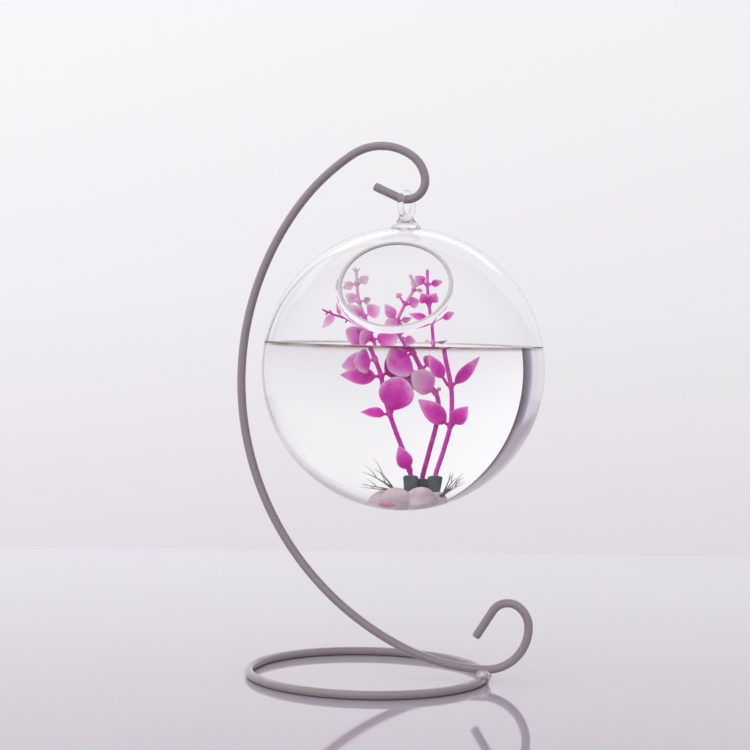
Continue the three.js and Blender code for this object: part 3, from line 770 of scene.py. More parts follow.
seat_above_globe = GLOBE_RADIUS + NECK_HEIGHT + LOOP_HOLE_HEIGHT - SEAT_GAP - rod_radius
globe_middle = hook_seat - np.array((0, 0, seat_above_globe))
inner_radius = GLOBE_RADIUS - GLASS_WALL


def lathe(profile, columns, start, end):
    """A profile of (radius, height) rows turned about +Z, closed at a start and an end height on the
    axis. Where the section changes round the axis, the profile has a column for each turn."""
    turn = np.linspace(0, 2 * pi, columns, endpoint=False)
    sections = profile[:, None] if profile.ndim == 2 else profile
    radius, height = np.moveaxis(np.broadcast_to(sections, (len(profile), columns, 2)), -1, 0)
    rings = np.stack((radius * np.cos(turn), radius * np.sin(turn), height), -1)
    return skin(rings, (0, 0, start), (0, 0, end))


def aligned(direction):
    """The shortest turn from +Z to a unit direction: I + K + K K / (1 + z), K crossing by +Z x direction."""
    x, y, z = unit(np.asarray(direction, float))
    cross = np.array([[0, 0, x], [0, 0, y], [-x, -y, 0]])
    return np.eye(3) + cross + cross @ cross / (1 + z)


def globe_profile(tilt):
    """Rows of the wall's section, with the polar angle counted from the mouth's axis. The wall swells
    into the bead by a bell curve of the distance to it. The bead sagged while it was soft, so its
    radius grows from the mouth's top to its bottom with the cosine of the turn."""
    upward = tilt.T @ (0, 0, 1)
    round_mouth = np.linspace(0, 2 * pi, GLOBE_COLUMNS, endpoint=False)
    bead_radius = RIM_BEAD_RADIUS - RIM_BEAD_SWING * np.cos(round_mouth - np.arctan2(upward[1], upward[0]))
    middle = GLOBE_RADIUS - GLASS_WALL / 2
    bead_angle = asin(MOUTH_RADIUS / middle)
    to_bead = np.linspace(1, 0, WALL_ROWS + 1)[1:-1, None] ** ROW_GRADING * (pi - bead_angle)
    swelling = np.exp(-((to_bead * middle / RIM_SPREAD) ** 2))
    half_wall = (GLASS_WALL / 2 + (bead_radius - GLASS_WALL / 2) * swelling)[..., None]
    arc = np.stack((np.sin(bead_angle + to_bead), np.cos(bead_angle + to_bead)), -1)
    turn = np.linspace(pi / 2, -pi / 2, RIM_ROWS)[:, None, None]
    inwards = np.array((-cos(bead_angle), sin(bead_angle)))
    outwards = np.array((sin(bead_angle), cos(bead_angle)))
    rim = middle * outwards + bead_radius[:, None] * (np.cos(turn) * inwards + np.sin(turn) * outwards)
    return np.concatenate(((middle + half_wall) * arc, rim, ((middle - half_wall) * arc)[::-1]))


def lowness(points, tilt):
    """0 at the top of the mouth and 1 at its bottom, by the distance down across it, and less over the
    bead's inner half. The rim's finish paints highlight where this is high and shade where it is low."""
    upward = (tilt.T @ (0, 0, 1))[:2]
    down = 0.5 - 0.5 * points[:, :2] @ unit(upward) / MOUTH_RADIUS
    inwards = (MOUTH_RADIUS - np.linalg.norm(points[:, :2], axis=1)) / RIM_BEAD_RADIUS + RIM_SHADE_REACH
    return np.clip(down - INNER_RIM_SHADE * np.clip(inwards, 0, 1), 0, 1)


def glass_finish(name, clearness, bending):
    """Glass that refracts and reflects, with faint waves in it. What isn't clear of it is milky white."""
    fixed = {"Base Color": (1, 1, 1, 1), "Transmission Weight": clearness, "IOR": bending, "Roughness": 0.0}
    material, flow, shader = new_material(name, fixed)
    wire(flow, shader, Normal=bump(flow, noise(flow, patches=18, detail=1.0), depth=0.00005))
    let_lamps_through(flow, shader, LIGHT_PASSED)
    return material


def rim_finish():
    """The fire-polished rim drawn as milky glass with a soft gloss. Its white at the bottom is a painted
    highlight, and its grey at its top and over its inner half is painted shade."""
    fixed = {"Transmission Weight": 0.15, "IOR": 1.47, "Coat Weight": 0.6, "Coat Roughness": 0.05}
    material, flow, shader = new_material("polished_rim", fixed)
    haze = noise(flow, patches=120, detail=2.0)
    # painted light: the rim runs from grey painted shade at its top and inner half to a white painted
    # highlight at its bottom
    low = attribute(flow, "low") + (haze - 0.5) * RIM_HAZE
    wire(
        flow,
        shader,
        Base_Color=flow.mix(low.between(*RIM_SHADE_TO_HIGHLIGHT), tone(192, 187, 189), tone(254, 254, 255)),
        Roughness=0.12 + haze * 0.1,
    )
    let_lamps_through(flow, shader, LIGHT_PASSED)
    return material


elevation = radians(MOUTH_ELEVATION)
mouth_turn = radians(MOUTH_TURN)
mouth_axis = (sin(mouth_turn) * cos(elevation), -cos(mouth_turn) * cos(elevation), sin(elevation))
mouth_tilt = aligned(mouth_axis)
globe_shell = lathe(globe_profile(mouth_tilt), GLOBE_COLUMNS, -GLOBE_RADIUS, -inner_radius)
globe_shell.values["low"] = lowness(globe_shell.points, mouth_tilt)
globe_shell = globe_shell.placed(mouth_tilt, globe_middle)
clear_glass = glass_finish("clear_glass", 1.0, GLASS_BENDING)
globe = add_piece("globe_shell", globe_shell, clear_glass, "globe", "clear_glass", "glass_globe")
globe.data.materials.append(rim_finish())
face_slots = np.zeros(len(globe.data.polygons), np.int32)
# the rim finish, with its painted highlight, reaches a few rows down the wall at the mouth's bottom and
# fewer towards its top
low_round_mouth = globe_shell.values["low"][:-2].reshape(-1, GLOBE_COLUMNS)[WALL_ROWS - RIM_HIGHLIGHT_ROWS]
rows_past_wall = np.arange(WALL_ROWS + RIM_ROWS - 2)[:, None] - WALL_ROWS + 1
milky = rows_past_wall >= -RIM_HIGHLIGHT_ROWS * low_round_mouth
face_slots[: milky.size] = milky.ravel()
globe.data.polygons.foreach_set("material_index", face_slots)
print("rim faces:", face_slots.sum())

# %% [markdown]
# ## Hanging loop
#
# The loop is a hot glass rod bent to an eye and melted onto the globe, so there is no edge where its legs
# run into the foot. Two plain shells, an eye and a flared foot, are melted into one by a voxel remesh and
# then softened. The foot reaches a little into the globe's wall, so that no gap shows between them.


# %% Melt shells together
def melted(name, shells, voxel, softening):
    """Overlapping closed shells as one skin of quads: a remesh on a grid of voxels, then smoothing."""
    rough = new_object(name, joined(shells))
    remesh = rough.modifiers.new("melt", "REMESH")
    remesh.mode = "VOXEL"
    remesh.voxel_size = voxel * MM
    smooth = rough.modifiers.new("soften", "SMOOTH")
    smooth.factor = 0.5
    smooth.iterations = softening
    mesh = bpy.data.meshes.new_from_object(rough.evaluated_get(bpy.context.evaluated_depsgraph_get()))
    points = np.empty(len(mesh.vertices) * 3, np.float32)
    mesh.vertices.foreach_get("co", points)
    corners = np.empty(len(mesh.loops), np.int32)
    mesh.loops.foreach_get("vertex_index", corners)
    bpy.data.objects.remove(rough)
    return Shell(points.reshape(-1, 3).astype(float) / MM, [corners.reshape(-1, 4)])


# %% Eye and foot
LOOP_ROD_TOP = 2.6
LOOP_ROD_LEG = 3.8
LOOP_HOLE_WIDTH = 8.4
LOOP_TURN = -23
NECK_DIAMETER = 7
FOOT_DIAMETER = 16.4
FOOT_SUNK = 0.5
FOOT_FLARE = 1.6
FOOT_ROWS = 30
FOOT_COLUMNS = 48
UNDER_ROWS = 12
UNDER_START = 0.2
NECK_OVERLAP = 0.6
NECK_CROWN = 0.2
EYE_OPENING = 0.25
EYE_STEPS = 90
EYE_SIDES = 24
LOOP_VOXEL = 0.22
LOOP_SOFTENING = 12
LOOP_CLEARNESS = 0.97
LOOP_BENDING = 1.34


def turned(axis, degrees):
    """A 3 by 3 turn about one axis."""
    return np.array(Matrix.Rotation(radians(degrees), 3, axis))


def eye_shell():
    """An oval of glass rod with its ends in the neck, thin over the hook and thicker down its legs."""
    turn = np.linspace(-pi / 2 + EYE_OPENING, 3 * pi / 2 - EYE_OPENING, EYE_STEPS)
    thick = LOOP_ROD_LEG + (LOOP_ROD_TOP - LOOP_ROD_LEG) * (0.5 + 0.5 * np.sin(turn))
    half_width = (LOOP_HOLE_WIDTH + thick) / 2
    half_height = (LOOP_HOLE_HEIGHT + thick) / 2
    middle = GLOBE_RADIUS + NECK_HEIGHT + LOOP_HOLE_HEIGHT / 2
    height = middle + half_height * np.sin(turn)
    path = np.stack((half_width * np.cos(turn), np.zeros_like(turn), height), -1)
    return tube(path, thick / 2, EYE_SIDES)


def foot_shell():
    """A flare that fits the globe and draws in to the neck, its radius falling by a power of the height."""
    rise = np.linspace(0, 1, FOOT_ROWS)
    neck = NECK_DIAMETER / 2
    foot = FOOT_DIAMETER / 2
    edge = sqrt(GLOBE_RADIUS**2 - foot**2)
    top = GLOBE_RADIUS + NECK_HEIGHT - NECK_OVERLAP
    radius = neck + (foot - neck) * (1 - rise) ** FOOT_FLARE
    height = edge + (top - edge) * rise
    under_radius = np.linspace(UNDER_START, foot, UNDER_ROWS)
    under = np.stack((under_radius, np.sqrt((GLOBE_RADIUS - FOOT_SUNK) ** 2 - under_radius**2)), -1)
    profile = np.concatenate((under, np.stack((radius, height), -1)))
    return lathe(profile, FOOT_COLUMNS, GLOBE_RADIUS - FOOT_SUNK, top + NECK_CROWN)


loop_shell = melted("loop_rough", [eye_shell(), foot_shell()], LOOP_VOXEL, LOOP_SOFTENING)
loop_shell = loop_shell.placed(turned("Z", 90 + LOOP_TURN), globe_middle)
loop_glass = glass_finish("loop_glass", LOOP_CLEARNESS, LOOP_BENDING)
add_piece("glass_loop", loop_shell, loop_glass, "globe", "clear_glass", "hanging_loop")

# %% [markdown]
# ## Water
#
# The water fills the globe to just above its middle and climbs a little where it touches the glass. Its
# side reaches a fifth of a millimetre into the glass: a ray then crosses the water's face and the glass's
# face one after the other and bends by just as much as it would at one face between glass and water.

# %% Water body
WATER_LEVEL = 12.5
WATER_OVERLAP = 0.2
MENISCUS_RISE = 1.2
MENISCUS_REACH = 2.2
FAR_RISE = 0.4
WATER_COLUMNS = 160
WATER_WALL_ROWS = 110
WATER_FACE_ROWS = 60
WATER_LINE_WIDTH = 2.0
WATER_LINE_BLUR = 0.5


def water_profile():
    """Up the wall to where the water's edge touches it, then in along a surface that falls off by an
    exponential. The edge stands highest at the front, where the wall leans in over it, and falls to
    the back with the sine of the turn."""
    outer = inner_radius + WATER_OVERLAP
    frontness = 0.5 - 0.5 * np.sin(np.linspace(0, 2 * pi, WATER_COLUMNS, endpoint=False))
    rise = FAR_RISE + (MENISCUS_RISE - FAR_RISE) * frontness
    top = np.arcsin((WATER_LEVEL + rise) / outer)
    angle = np.linspace(np.full(WATER_COLUMNS, -pi / 2), top, WATER_WALL_ROWS)[1:]
    wall = outer * np.stack((np.cos(angle), np.sin(angle)), -1)
    share = np.linspace(0, 1, WATER_FACE_ROWS)[1:-1, None] ** 2
    radius = wall[-1, :, 0] * (1 - share)
    height = WATER_LEVEL + rise * np.exp(-(wall[-1, :, 0] - radius) / MENISCUS_REACH)
    return np.concatenate((wall, np.stack((radius, height), -1)))


def water_line(points):
    """1 in a band along the wall below the highest edge, fading from the front to the back, 0 off it. The
    water's finish paints a line of shade there.
    """
    below = WATER_LEVEL + MENISCUS_RISE - WATER_LINE_WIDTH - points[:, 2]
    inside = inner_radius - np.linalg.norm(points, axis=1) - WATER_LINE_WIDTH
    front = np.clip(0.5 - points[:, 1] / inner_radius, 0, 1)
    return front * np.clip(1 - np.maximum(below, inside) / WATER_LINE_BLUR, 0, 1)


def water_finish():
    """Clear water with the faintest ripple on its face, and a brownish line of painted shade along its
    edge on the glass, where the curved edge gathers the dark of the room. Face on, wet glass and water
    reflect next to nothing."""
    fixed = {
        "Transmission Weight": 1.0,
        "IOR": 1.33,
        "Roughness": 0.0,
        "Specular Tint": (0, 0, 0, 1),
    }
    material, flow, shader = new_material("clear_water", fixed)
    # painted shade: a mottled brownish dark line where the water's curved edge meets the front glass
    shade_mottle = noise(flow, patches=60, detail=2.0).between(*SOFT_CONTRAST)
    line_shade = flow.mix(shade_mottle, tone(112, 70, 68), tone(158, 142, 128))
    wire(
        flow,
        shader,
        Base_Color=flow.mix(attribute(flow, "water_line"), tone(255, 255, 255), line_shade),
        Normal=bump(flow, noise(flow, patches=30, detail=1.0), depth=0.00003),
    )
    let_lamps_through(flow, shader, LIGHT_PASSED)
    return material


water_shell = lathe(water_profile(), WATER_COLUMNS, -inner_radius - WATER_OVERLAP, WATER_LEVEL)
water_shell.values["water_line"] = water_line(water_shell.points)
add_piece("bowl_water", water_shell.placed(np.eye(3), globe_middle), water_finish(), "globe", None)

# %% [markdown]
# ## Plant base
#
# The base is cast in one piece to look like a heap of cobbles. Each cobble is a ball drawn out to its
# size, its surface lifted by a few long waves, and the heap is melted together so that soft creases stay
# between the stones. A value stored on the points marks those creases, where the finish paints shade.

# %% Cobble heap
ORNAMENT_TURN = 12
ROCK_HEIGHT = 24.5
ROCK_OFFSET = 3.3
COBBLES_AROUND = 6
COBBLE_SPREAD = 10.5
COBBLE_LENGTH = 17
COBBLE_WIDTH = 15.5
COBBLE_STEP_DOWN = 2
SMALL_STEP_DOWN = 1.2
PEBBLE_PLACE = np.array((-6, -15, -65.2))
PEBBLE_SIZE = np.array((10, 4.5, 5.6))
PEBBLE_EDGE = 1.2
PEBBLE_BLUR = 0.15
PEBBLE_GRID = (16, 26)
COBBLE_GRID = (26, 44)
COBBLE_WAVES = 2.2
COBBLE_LIFT = 0.03
CREASE_WIDTH = 0.16
BOWL_CLEARANCE = 0.35
ROCK_VOXEL = 0.45
ROCK_SOFTENING = 4

ornament_turn = turned("Z", ORNAMENT_TURN)
dice = np.random.default_rng(7)


def cobbles():
    """Each cobble's place, height and turn: a tall one in the middle and lower ones round it."""
    stones = [((ROCK_OFFSET, 0), ROCK_HEIGHT, 0.0)]
    for i in range(COBBLES_AROUND):
        angle = 2 * pi * i / COBBLES_AROUND
        x = COBBLE_SPREAD * cos(angle)
        y = COBBLE_SPREAD * sin(angle)
        lower = SMALL_STEP_DOWN if i % 2 else COBBLE_STEP_DOWN
        stones.append(((ROCK_OFFSET + x, y), ROCK_HEIGHT - lower, x + y))
    return stones


def cobble_frame(place, height, turn):
    """A cobble's half sizes, its turn and its middle, with its foot on the globe's floor."""
    half_sizes = np.array((COBBLE_LENGTH, COBBLE_WIDTH, height)) / 2
    middle = np.array((*place, height / 2 - inner_radius))
    return half_sizes, np.array(Matrix.Rotation(turn, 3, "Z")), middle


def cobble_shell(place, height, turn):
    """A drawn-out ball whose radius is lifted by the sines of waves across three random directions."""
    grid = ball(*COBBLE_GRID)
    waves = dice.normal(size=(3, 3)) * COBBLE_WAVES
    phases = dice.uniform(0, 2 * pi, 3)
    lift = 1 + COBBLE_LIFT * np.sin(grid @ waves.T + phases).sum(-1)
    half_sizes, spin, middle = cobble_frame(place, height, turn)
    return ball_shell(grid, half_sizes, lift).placed(spin, middle)


def pebble_shell():
    """A small smooth ball, drawn out along three axes, that is set in the heap's front."""
    return ball_shell(ball(*PEBBLE_GRID), PEBBLE_SIZE / 2).placed(np.eye(3), PEBBLE_PLACE)


def pebble_value(points):
    """1 on the small stone, falling to 0 just past its edge; reach counts in the stone's half sizes."""
    reach = np.linalg.norm((points - PEBBLE_PLACE) / (PEBBLE_SIZE / 2), axis=1)
    return np.clip((PEBBLE_EDGE - reach) / PEBBLE_BLUR, 0, 1)


def kept_in_bowl(points, clearance):
    """Points that lie past the glass, drawn back to just inside it along the line to the globe's middle."""
    distance = np.linalg.norm(points, axis=1, keepdims=True)
    return points * np.minimum(1, (inner_radius - clearance) / distance)


def crease_value(points):
    """How near a point is to the line where two cobbles meet: 1 on it, 0 well away from it."""
    reaches = []
    for cobble in cobbles():
        half_sizes, spin, middle = cobble_frame(*cobble)
        reaches.append(np.linalg.norm((points - middle) @ spin / half_sizes, axis=1))
    nearest = np.sort(np.stack(reaches), axis=0)
    return np.clip(1 - (nearest[1] - nearest[0]) / CREASE_WIDTH, 0, 1)


def rock_finish():
    """Cast resin stone: grey-mauve, dusty, with painted shade in the creases and fine grains."""
    material, flow, shader = new_material("cast_stone", {"IOR": 1.45})
    cloud = noise(flow, patches=160, detail=4.0)
    grain = noise(flow, patches=2200, detail=2.0)
    stone = flow.mix(cloud.between(*SOFT_CONTRAST), tone(206, 180, 187), tone(228, 212, 218))
    speckled = flow.mix(grain.between(0.56, 0.7) * 0.4, stone, tone(240, 230, 234))
    # painted shade: the stone is darkened where two cobbles meet
    crease_shaded = flow.mix(attribute(flow, "crease") * 0.45, speckled, tone(152, 126, 134))
    wire(
        flow,
        shader,
        Base_Color=flow.mix(attribute(flow, "pebble"), crease_shaded, tone(222, 128, 146)),
        Roughness=0.62 + cloud * 0.25,
        Normal=bump(flow, cloud * 0.7 + grain * 0.3, depth=0.0004),
    )
    return material


heap = [cobble_shell(*cobble) for cobble in cobbles()] + [pebble_shell()]
rock_shell = melted("rock_rough", heap, ROCK_VOXEL, ROCK_SOFTENING)
rock_shell.points = kept_in_bowl(rock_shell.points, BOWL_CLEARANCE)
rock_shell.values["crease"] = crease_value(rock_shell.points)
rock_shell.values["pebble"] = pebble_value(rock_shell.points)
rock_shell = rock_shell.placed(ornament_turn, globe_middle)
add_piece("cobble_heap", rock_shell, rock_finish(), "globe", "cast_rock", "rock_base")

# %% [markdown]
# ## Sockets
#
# Each stem stands in a dark green cup that is set in the heap. The cup is a turned profile with a rolled
# rim.

# %% Socket cups
SOCKET_DIAMETER = 6.4
SOCKET_FOOT_DIAMETER = 4.8
SOCKET_HEIGHT = 9
SOCKET_SUNK = 4
SOCKET_FLOOR = 3
SOCKET_ROWS = 14
SOCKET_LIP_ROWS = 9
SOCKET_COLUMNS = 36
STEM_DIAMETER = 2
PLANT_HEADROOM = 22
STEM_FEET = {"a": (4, -3), "b": (8.5, 5), "c": (14, -2)}

rock_top = ROCK_HEIGHT - inner_radius
socket_foot = rock_top - SOCKET_SUNK
socket_top = socket_foot + SOCKET_HEIGHT
plant_top = inner_radius - PLANT_HEADROOM


def socket_shell():
    """A cup from its foot up the flared outside, over a rounded rim and down the bore to its floor."""
    bore = STEM_DIAMETER / 2 + SEAT_GAP
    lip = (SOCKET_DIAMETER / 2 - bore) / 2
    rise = np.linspace(0, SOCKET_HEIGHT - lip, SOCKET_ROWS)
    flare = (SOCKET_DIAMETER - SOCKET_FOOT_DIAMETER) / 2
    outside = SOCKET_FOOT_DIAMETER / 2 + flare * rise / SOCKET_HEIGHT
    turn = np.linspace(0, pi, SOCKET_LIP_ROWS)[1:-1]
    rim = np.stack((bore + lip + lip * np.cos(turn), SOCKET_HEIGHT - lip + lip * np.sin(turn)), -1)
    inside = np.array([[bore, SOCKET_HEIGHT - lip], [bore, SOCKET_FLOOR]])
    profile = np.concatenate((np.stack((outside, rise), -1), rim, inside))
    return lathe(profile, SOCKET_COLUMNS, 0, SOCKET_FLOOR)


def socket_finish():
    """Moulded dark green plastic, matt, with faint flow marks."""
    material, flow, shader = new_material("socket_green", {"IOR": 1.48})
    marks = noise(flow, patches=300, detail=3.0)
    wire(
        flow,
        shader,
        Base_Color=flow.mix(marks, tone(62, 76, 80), tone(102, 112, 116)),
        Roughness=0.4 + marks * 0.2,
        Normal=bump(flow, marks, depth=0.0001),
    )
    return material


socket_green = socket_finish()
for key, (x, y) in STEM_FEET.items():
    cup = socket_shell().placed(ornament_turn, globe_middle + ornament_turn @ np.array((x, y, socket_foot)))
    add_piece(f"socket_cup_{key}", cup, socket_green, "globe", "socket_plastic", f"stem_socket_{key}")

# %% [markdown]
# ## Stems
#
# The stems are soft plastic wires that lean their own way. Each follows a smooth curve through a few
# given points. The curve is a centripetal Catmull-Rom, which never overshoots between uneven points.

# %% Stem curves
STEM_ROUTES = {
    "a": [
        (1.5, -3, 0.09), (-2.3, -3, 0.19), (-5.1, -2.5, 0.27), (-7.7, -2, 0.36), (-8.8, -1.5, 0.43),
        (-12.6, -1, 0.53), (-15.8, 0, 0.61), (-19.8, 1, 0.72), (-23.7, 2, 0.82), (-25.2, 3, 0.9),
        (-25.9, 3.5, 1),
    ],
    "b": [
        (11, 5, 0.12), (13.8, 5, 0.25), (13.9, 4.5, 0.34), (11.8, 4, 0.38), (7.3, 3.5, 0.46), (3.8, 3, 0.53),
        (-0.6, 2.5, 0.62), (-3.6, 2, 0.68), (-3.6, 2, 0.725), (0.3, 2, 0.82), (4.8, 2, 0.91),
        (4.2, 2, 0.955), (2.4, 2, 0.99),
    ],
    "c": [
        (16.8, -2, 0.11), (19.5, -1.5, 0.23), (19.8, -1, 0.32), (19.3, -0.5, 0.39), (16.4, 0, 0.535),
        (15, 0, 0.69), (13.5, 0.5, 0.79), (12.1, 1, 0.91), (11.8, 1, 1.02),
    ],
}


def smooth_path(points, steps=24):
    """A centripetal Catmull-Rom curve: on each span a cubic whose end slopes come from the four nearest
    points, with knots spaced by the square root of the distances."""
    points = np.asarray(points, float)
    longer = np.concatenate((2 * points[:1] - points[1:2], points, 2 * points[-1:] - points[-2:-1]))
    knots = np.sqrt(np.linalg.norm(np.diff(longer, axis=0), axis=1))[:, None]
    before, here, after = knots[:-2], knots[1:-1], knots[2:]
    p0, p1, p2, p3 = longer[:-3], longer[1:-2], longer[2:-1], longer[3:]
    slope_1 = ((p1 - p0) / before - (p2 - p0) / (before + here) + (p2 - p1) / here) * here
    slope_2 = ((p2 - p1) / here - (p3 - p1) / (here + after) + (p3 - p2) / after) * here
    run = np.linspace(0, 1, steps, endpoint=False)[None, :, None]
    cubic = (
        p1[:, None]
        + slope_1[:, None] * run
        + (3 * (p2 - p1) - 2 * slope_1 - slope_2)[:, None] * run**2
        + (2 * (p1 - p2) + slope_1 + slope_2)[:, None] * run**3
    )
    return np.concatenate((cubic.reshape(-1, 3), points[-1:]))


def stem_path(key):
    """Up out of the socket and then along the route, whose heights are shares of the plant's height."""
    x, y = STEM_FEET[key]
    start = (x, y, socket_foot + SOCKET_FLOOR + SEAT_GAP)
    reach = plant_top - socket_top
    route = [(across, away, socket_top + share * reach) for across, away, share in STEM_ROUTES[key]]
    return smooth_path([start, (x, y, socket_top), *route])


stem_paths = {key: stem_path(key) for key in STEM_FEET}
print({key: round(lengths_along(path)[-1], 1) for key, path in stem_paths.items()}, "mm of stem")

# %% [markdown]
# Stems and leaves come from one plastic. It is deep magenta where it is thick, and it fades to a pale
# lilac at the tips where the colour was dipped thin. A value called fade is stored on the points, 0 for
# deep and 1 for pale.


# %% Dipped plastic
FADE_BLOTCH = 0.9


def dipped_finish(name, roughness, glow):
    """Translucent plastic whose colour runs from magenta to pale lilac along the stored fade."""
    material, flow, shader = new_material(
        name,
        {
            "IOR": 1.46,
            "Specular IOR Level": 0.25,
            "Subsurface Weight": glow,
            "Subsurface Radius": (1.0, 0.35, 0.9),
            "Subsurface Scale": 0.0012,
        },
    )
    blotch = noise(flow, patches=210, detail=3.0)
    fade = attribute(flow, "fade") + (blotch - 0.5) * FADE_BLOTCH
    colour = fade.ramp([
        (0.0, tone(190, 42, 157)),
        (0.3, tone(205, 80, 179)),
        (0.58, tone(212, 134, 193)),
        (0.82, tone(208, 167, 192)),
        (1.0, tone(208, 187, 198)),
    ])
    wire(
        flow,
        shader,
        Base_Color=colour,
        Roughness=roughness + blotch * 0.15,
        Normal=bump(flow, attribute(flow, "vein") * 0.4 + blotch * 0.6, depth=0.00025),
    )
    return material


stem_plastic = dipped_finish("stem_plastic", 0.32, 0.15)
leaf_plastic = dipped_finish("leaf_plastic", 0.3, 0.55)
print("plastics:", stem_plastic.name, leaf_plastic.name)

# %% Stem tubes
STEM_FADE = {"a": (0.1, 1.0), "b": (0.15, 0.9), "c": (0.2, 0.35)}
TOP_STUBS = [(-2.2, 0, 2.4), (-0.5, -1, 3.2), (1.9, 0.5, 2.6), (2.6, -0.5, -2.2), (-1.8, 0.5, -3.2)]
STUB_DEPTHS = np.array((0.6, 0.6, 0.6, 3.4, 4.2))
STUB_DIAMETER = 1.1
STUB_STEPS = 9
STUB_SIDES = 10
STUB_BLUNTNESS = 10
STUB_SIDE_AXIS = (0.2, 1, 0.3)
STUB_END_FLOOR = 0.02
FORKED_STEM = "a"
STEM_ROWS = 150
STEM_SIDES = 16
STEM_TIP_ROWS = 6
STEM_TAPER = 0.2
STEM_END_FLOOR = 0.01
STEM_KNOT_SPACING = 6.5
STEM_KNOT_SWELL = 0.06
STEM_KNOT_SHARPNESS = 8
STEM_FADE_SLOPE = 2.2


def stub_shell(root, reach, fade):
    """A short blunt spur: a tube that thins by a third and is rounded at its end."""
    run = np.sin(np.linspace(0, pi / 2, STUB_STEPS))
    rounding = np.sqrt(np.clip(1 - run**STUB_BLUNTNESS, STUB_END_FLOOR, 1))
    radius = STUB_DIAMETER / 2 * (1 - run / 3) * rounding
    path = np.asarray(root) + run[:, None] * np.asarray(reach, float)
    return tube(path, radius, STUB_SIDES, STUB_SIDE_AXIS, {"fade": np.full((len(run), 1), fade)})


def stem_shell(key):
    """A tube that thins a little to its rounded top, with a low swelling every few millimetres."""
    path = stem_paths[key]
    total = lengths_along(path)[-1]
    tip = STEM_DIAMETER / 2 * (1 - np.cos(np.linspace(0, pi / 2, STEM_TIP_ROWS)))
    lengths = np.concatenate((np.linspace(0, total - tip[-1], STEM_ROWS)[:-1], total - tip[::-1]))
    share = lengths / total
    swelling = 1 + STEM_KNOT_SWELL * np.sin(lengths * 2 * pi / STEM_KNOT_SPACING) ** STEM_KNOT_SHARPNESS
    radius = STEM_DIAMETER / 2 * (1 - STEM_TAPER * share) * swelling
    past_shoulder = np.clip(tip[-1] - (total - lengths), 0, None) / tip[-1]
    rounding = np.sqrt(np.clip(1 - past_shoulder**2, STEM_END_FLOOR, 1))
    low, high = STEM_FADE[key]
    fade = low + (high - low) * np.clip(1 - STEM_FADE_SLOPE * (1 - share), 0, 1)
    values = {"fade": fade[:, None]}
    cane = tube(sampled(path, lengths), radius * rounding, STEM_SIDES, values=values)
    if key != FORKED_STEM:
        return cane
    roots = sampled(path, total - STUB_DEPTHS)
    return joined([cane, *[stub_shell(root, stub, high) for root, stub in zip(roots, TOP_STUBS)]])


for key in STEM_FEET:
    stem = stem_shell(key).placed(ornament_turn, globe_middle)
    add_piece(f"stem_cane_{key}", stem, stem_plastic, "globe", "stem_plastic", f"stem_{key}")

# %% [markdown]
# ## Leaves
#
# Leaves come in pairs on short sleeves that slip over the stems. A leaf could be a flat outline with
# Solidify, but a moulded leaf is thick along its rib and thin at its edge. So it is a section carried
# along: at each step the section is a flat ellipse as wide as the outline there, then the whole blade is
# cupped and curled.

# %% Leaf blade
SLEEVE_SWELL = 0.25
SLEEVE_LENGTH = 2.4
LEAF_THICKNESS = 0.7
LEAF_STALK_WIDTH = 1.2
LEAF_STALK_LENGTH = 1.2
LEAF_BELLY = (1.05, 0.7)
LEAF_BELLY_PLACE = 0.3
LEAF_SHOULDER = (0.12, 0.62)
LEAF_SHOULDER_PLACE = 0.86
POINTED_WIDTH = 6
ROUND_WIDTH = 14
LEAF_FULLNESS = 1.08
LEAF_CURL = 0.12
LEAF_CUP = 0.5
LEAF_TAPER = 0.45
LEAF_RIPPLE = 0.035
RIPPLE_WAVES = 9
RIPPLE_SHIFT = 2.5
TIP_FADE = 0.7
EDGE_FADE = 0.55
STALK_EDGE_SHARE = 0.4
THINNEST_HALF = 0.3
LEAF_ROWS = 22
LEAF_COLUMNS = 24
VEINS = 7
VEIN_LEAN = 2.2


def leaf_shell(length, width, stalk, pale):
    """Along X: half widths follow a cubic Bezier from the stalk over the belly to the tip. Sections are
    ellipses. The height adds a cup, across squared over the width, a curl, along squared over the
    length, and a small ripple."""
    run = np.linspace(0, 1, LEAF_ROWS)[:-1]
    blade = length - stalk
    widths = (POINTED_WIDTH, ROUND_WIDTH)
    belly = (stalk + LEAF_BELLY_PLACE * blade, np.interp(width, widths, LEAF_BELLY) * width)
    shoulder = (stalk + LEAF_SHOULDER_PLACE * blade, np.interp(width, widths, LEAF_SHOULDER) * width)
    corners = np.array([(stalk, LEAF_STALK_WIDTH / 2), belly, shoulder, (length, 0)])
    left = 1 - run
    weights = np.stack((left**3, 3 * run * left**2, 3 * run**2 * left, run**3), -1)
    outline = weights @ corners
    along = np.concatenate(([0, stalk / 2], outline[:, 0]))[:, None]
    half = np.concatenate(([LEAF_STALK_WIDTH / 2] * 2, outline[:, 1]))[:, None]
    turn = np.linspace(0, 2 * pi, LEAF_COLUMNS, endpoint=False)
    across = half * np.cos(turn)
    share = along / length
    thick = LEAF_THICKNESS * (1 - LEAF_TAPER * share) / 2
    phase = dice.uniform(0, 2 * pi)
    wave = np.sin(RIPPLE_WAVES * share + phase + RIPPLE_SHIFT * np.sign(across))
    ripple = LEAF_RIPPLE * width * wave * (across / (width / 2)) ** 2
    height = thick * np.sin(turn) + LEAF_CUP * across**2 / width - LEAF_CURL * along**2 / length + ripple
    rings = np.stack((np.broadcast_to(along, across.shape), across, height), -1)
    edge = (across / np.maximum(half, THINNEST_HALF)) ** 2
    edge_share = STALK_EDGE_SHARE + (1 - STALK_EDGE_SHARE) * share
    fade = pale + TIP_FADE * share**2 + EDGE_FADE * edge**2 * edge_share
    vein = 0.5 + 0.5 * np.cos(2 * pi * (VEINS * share - VEIN_LEAN * np.abs(across) / width))
    return skin(rings, end=(length, 0, -LEAF_CURL * length), values={"fade": fade, "vein": vein})


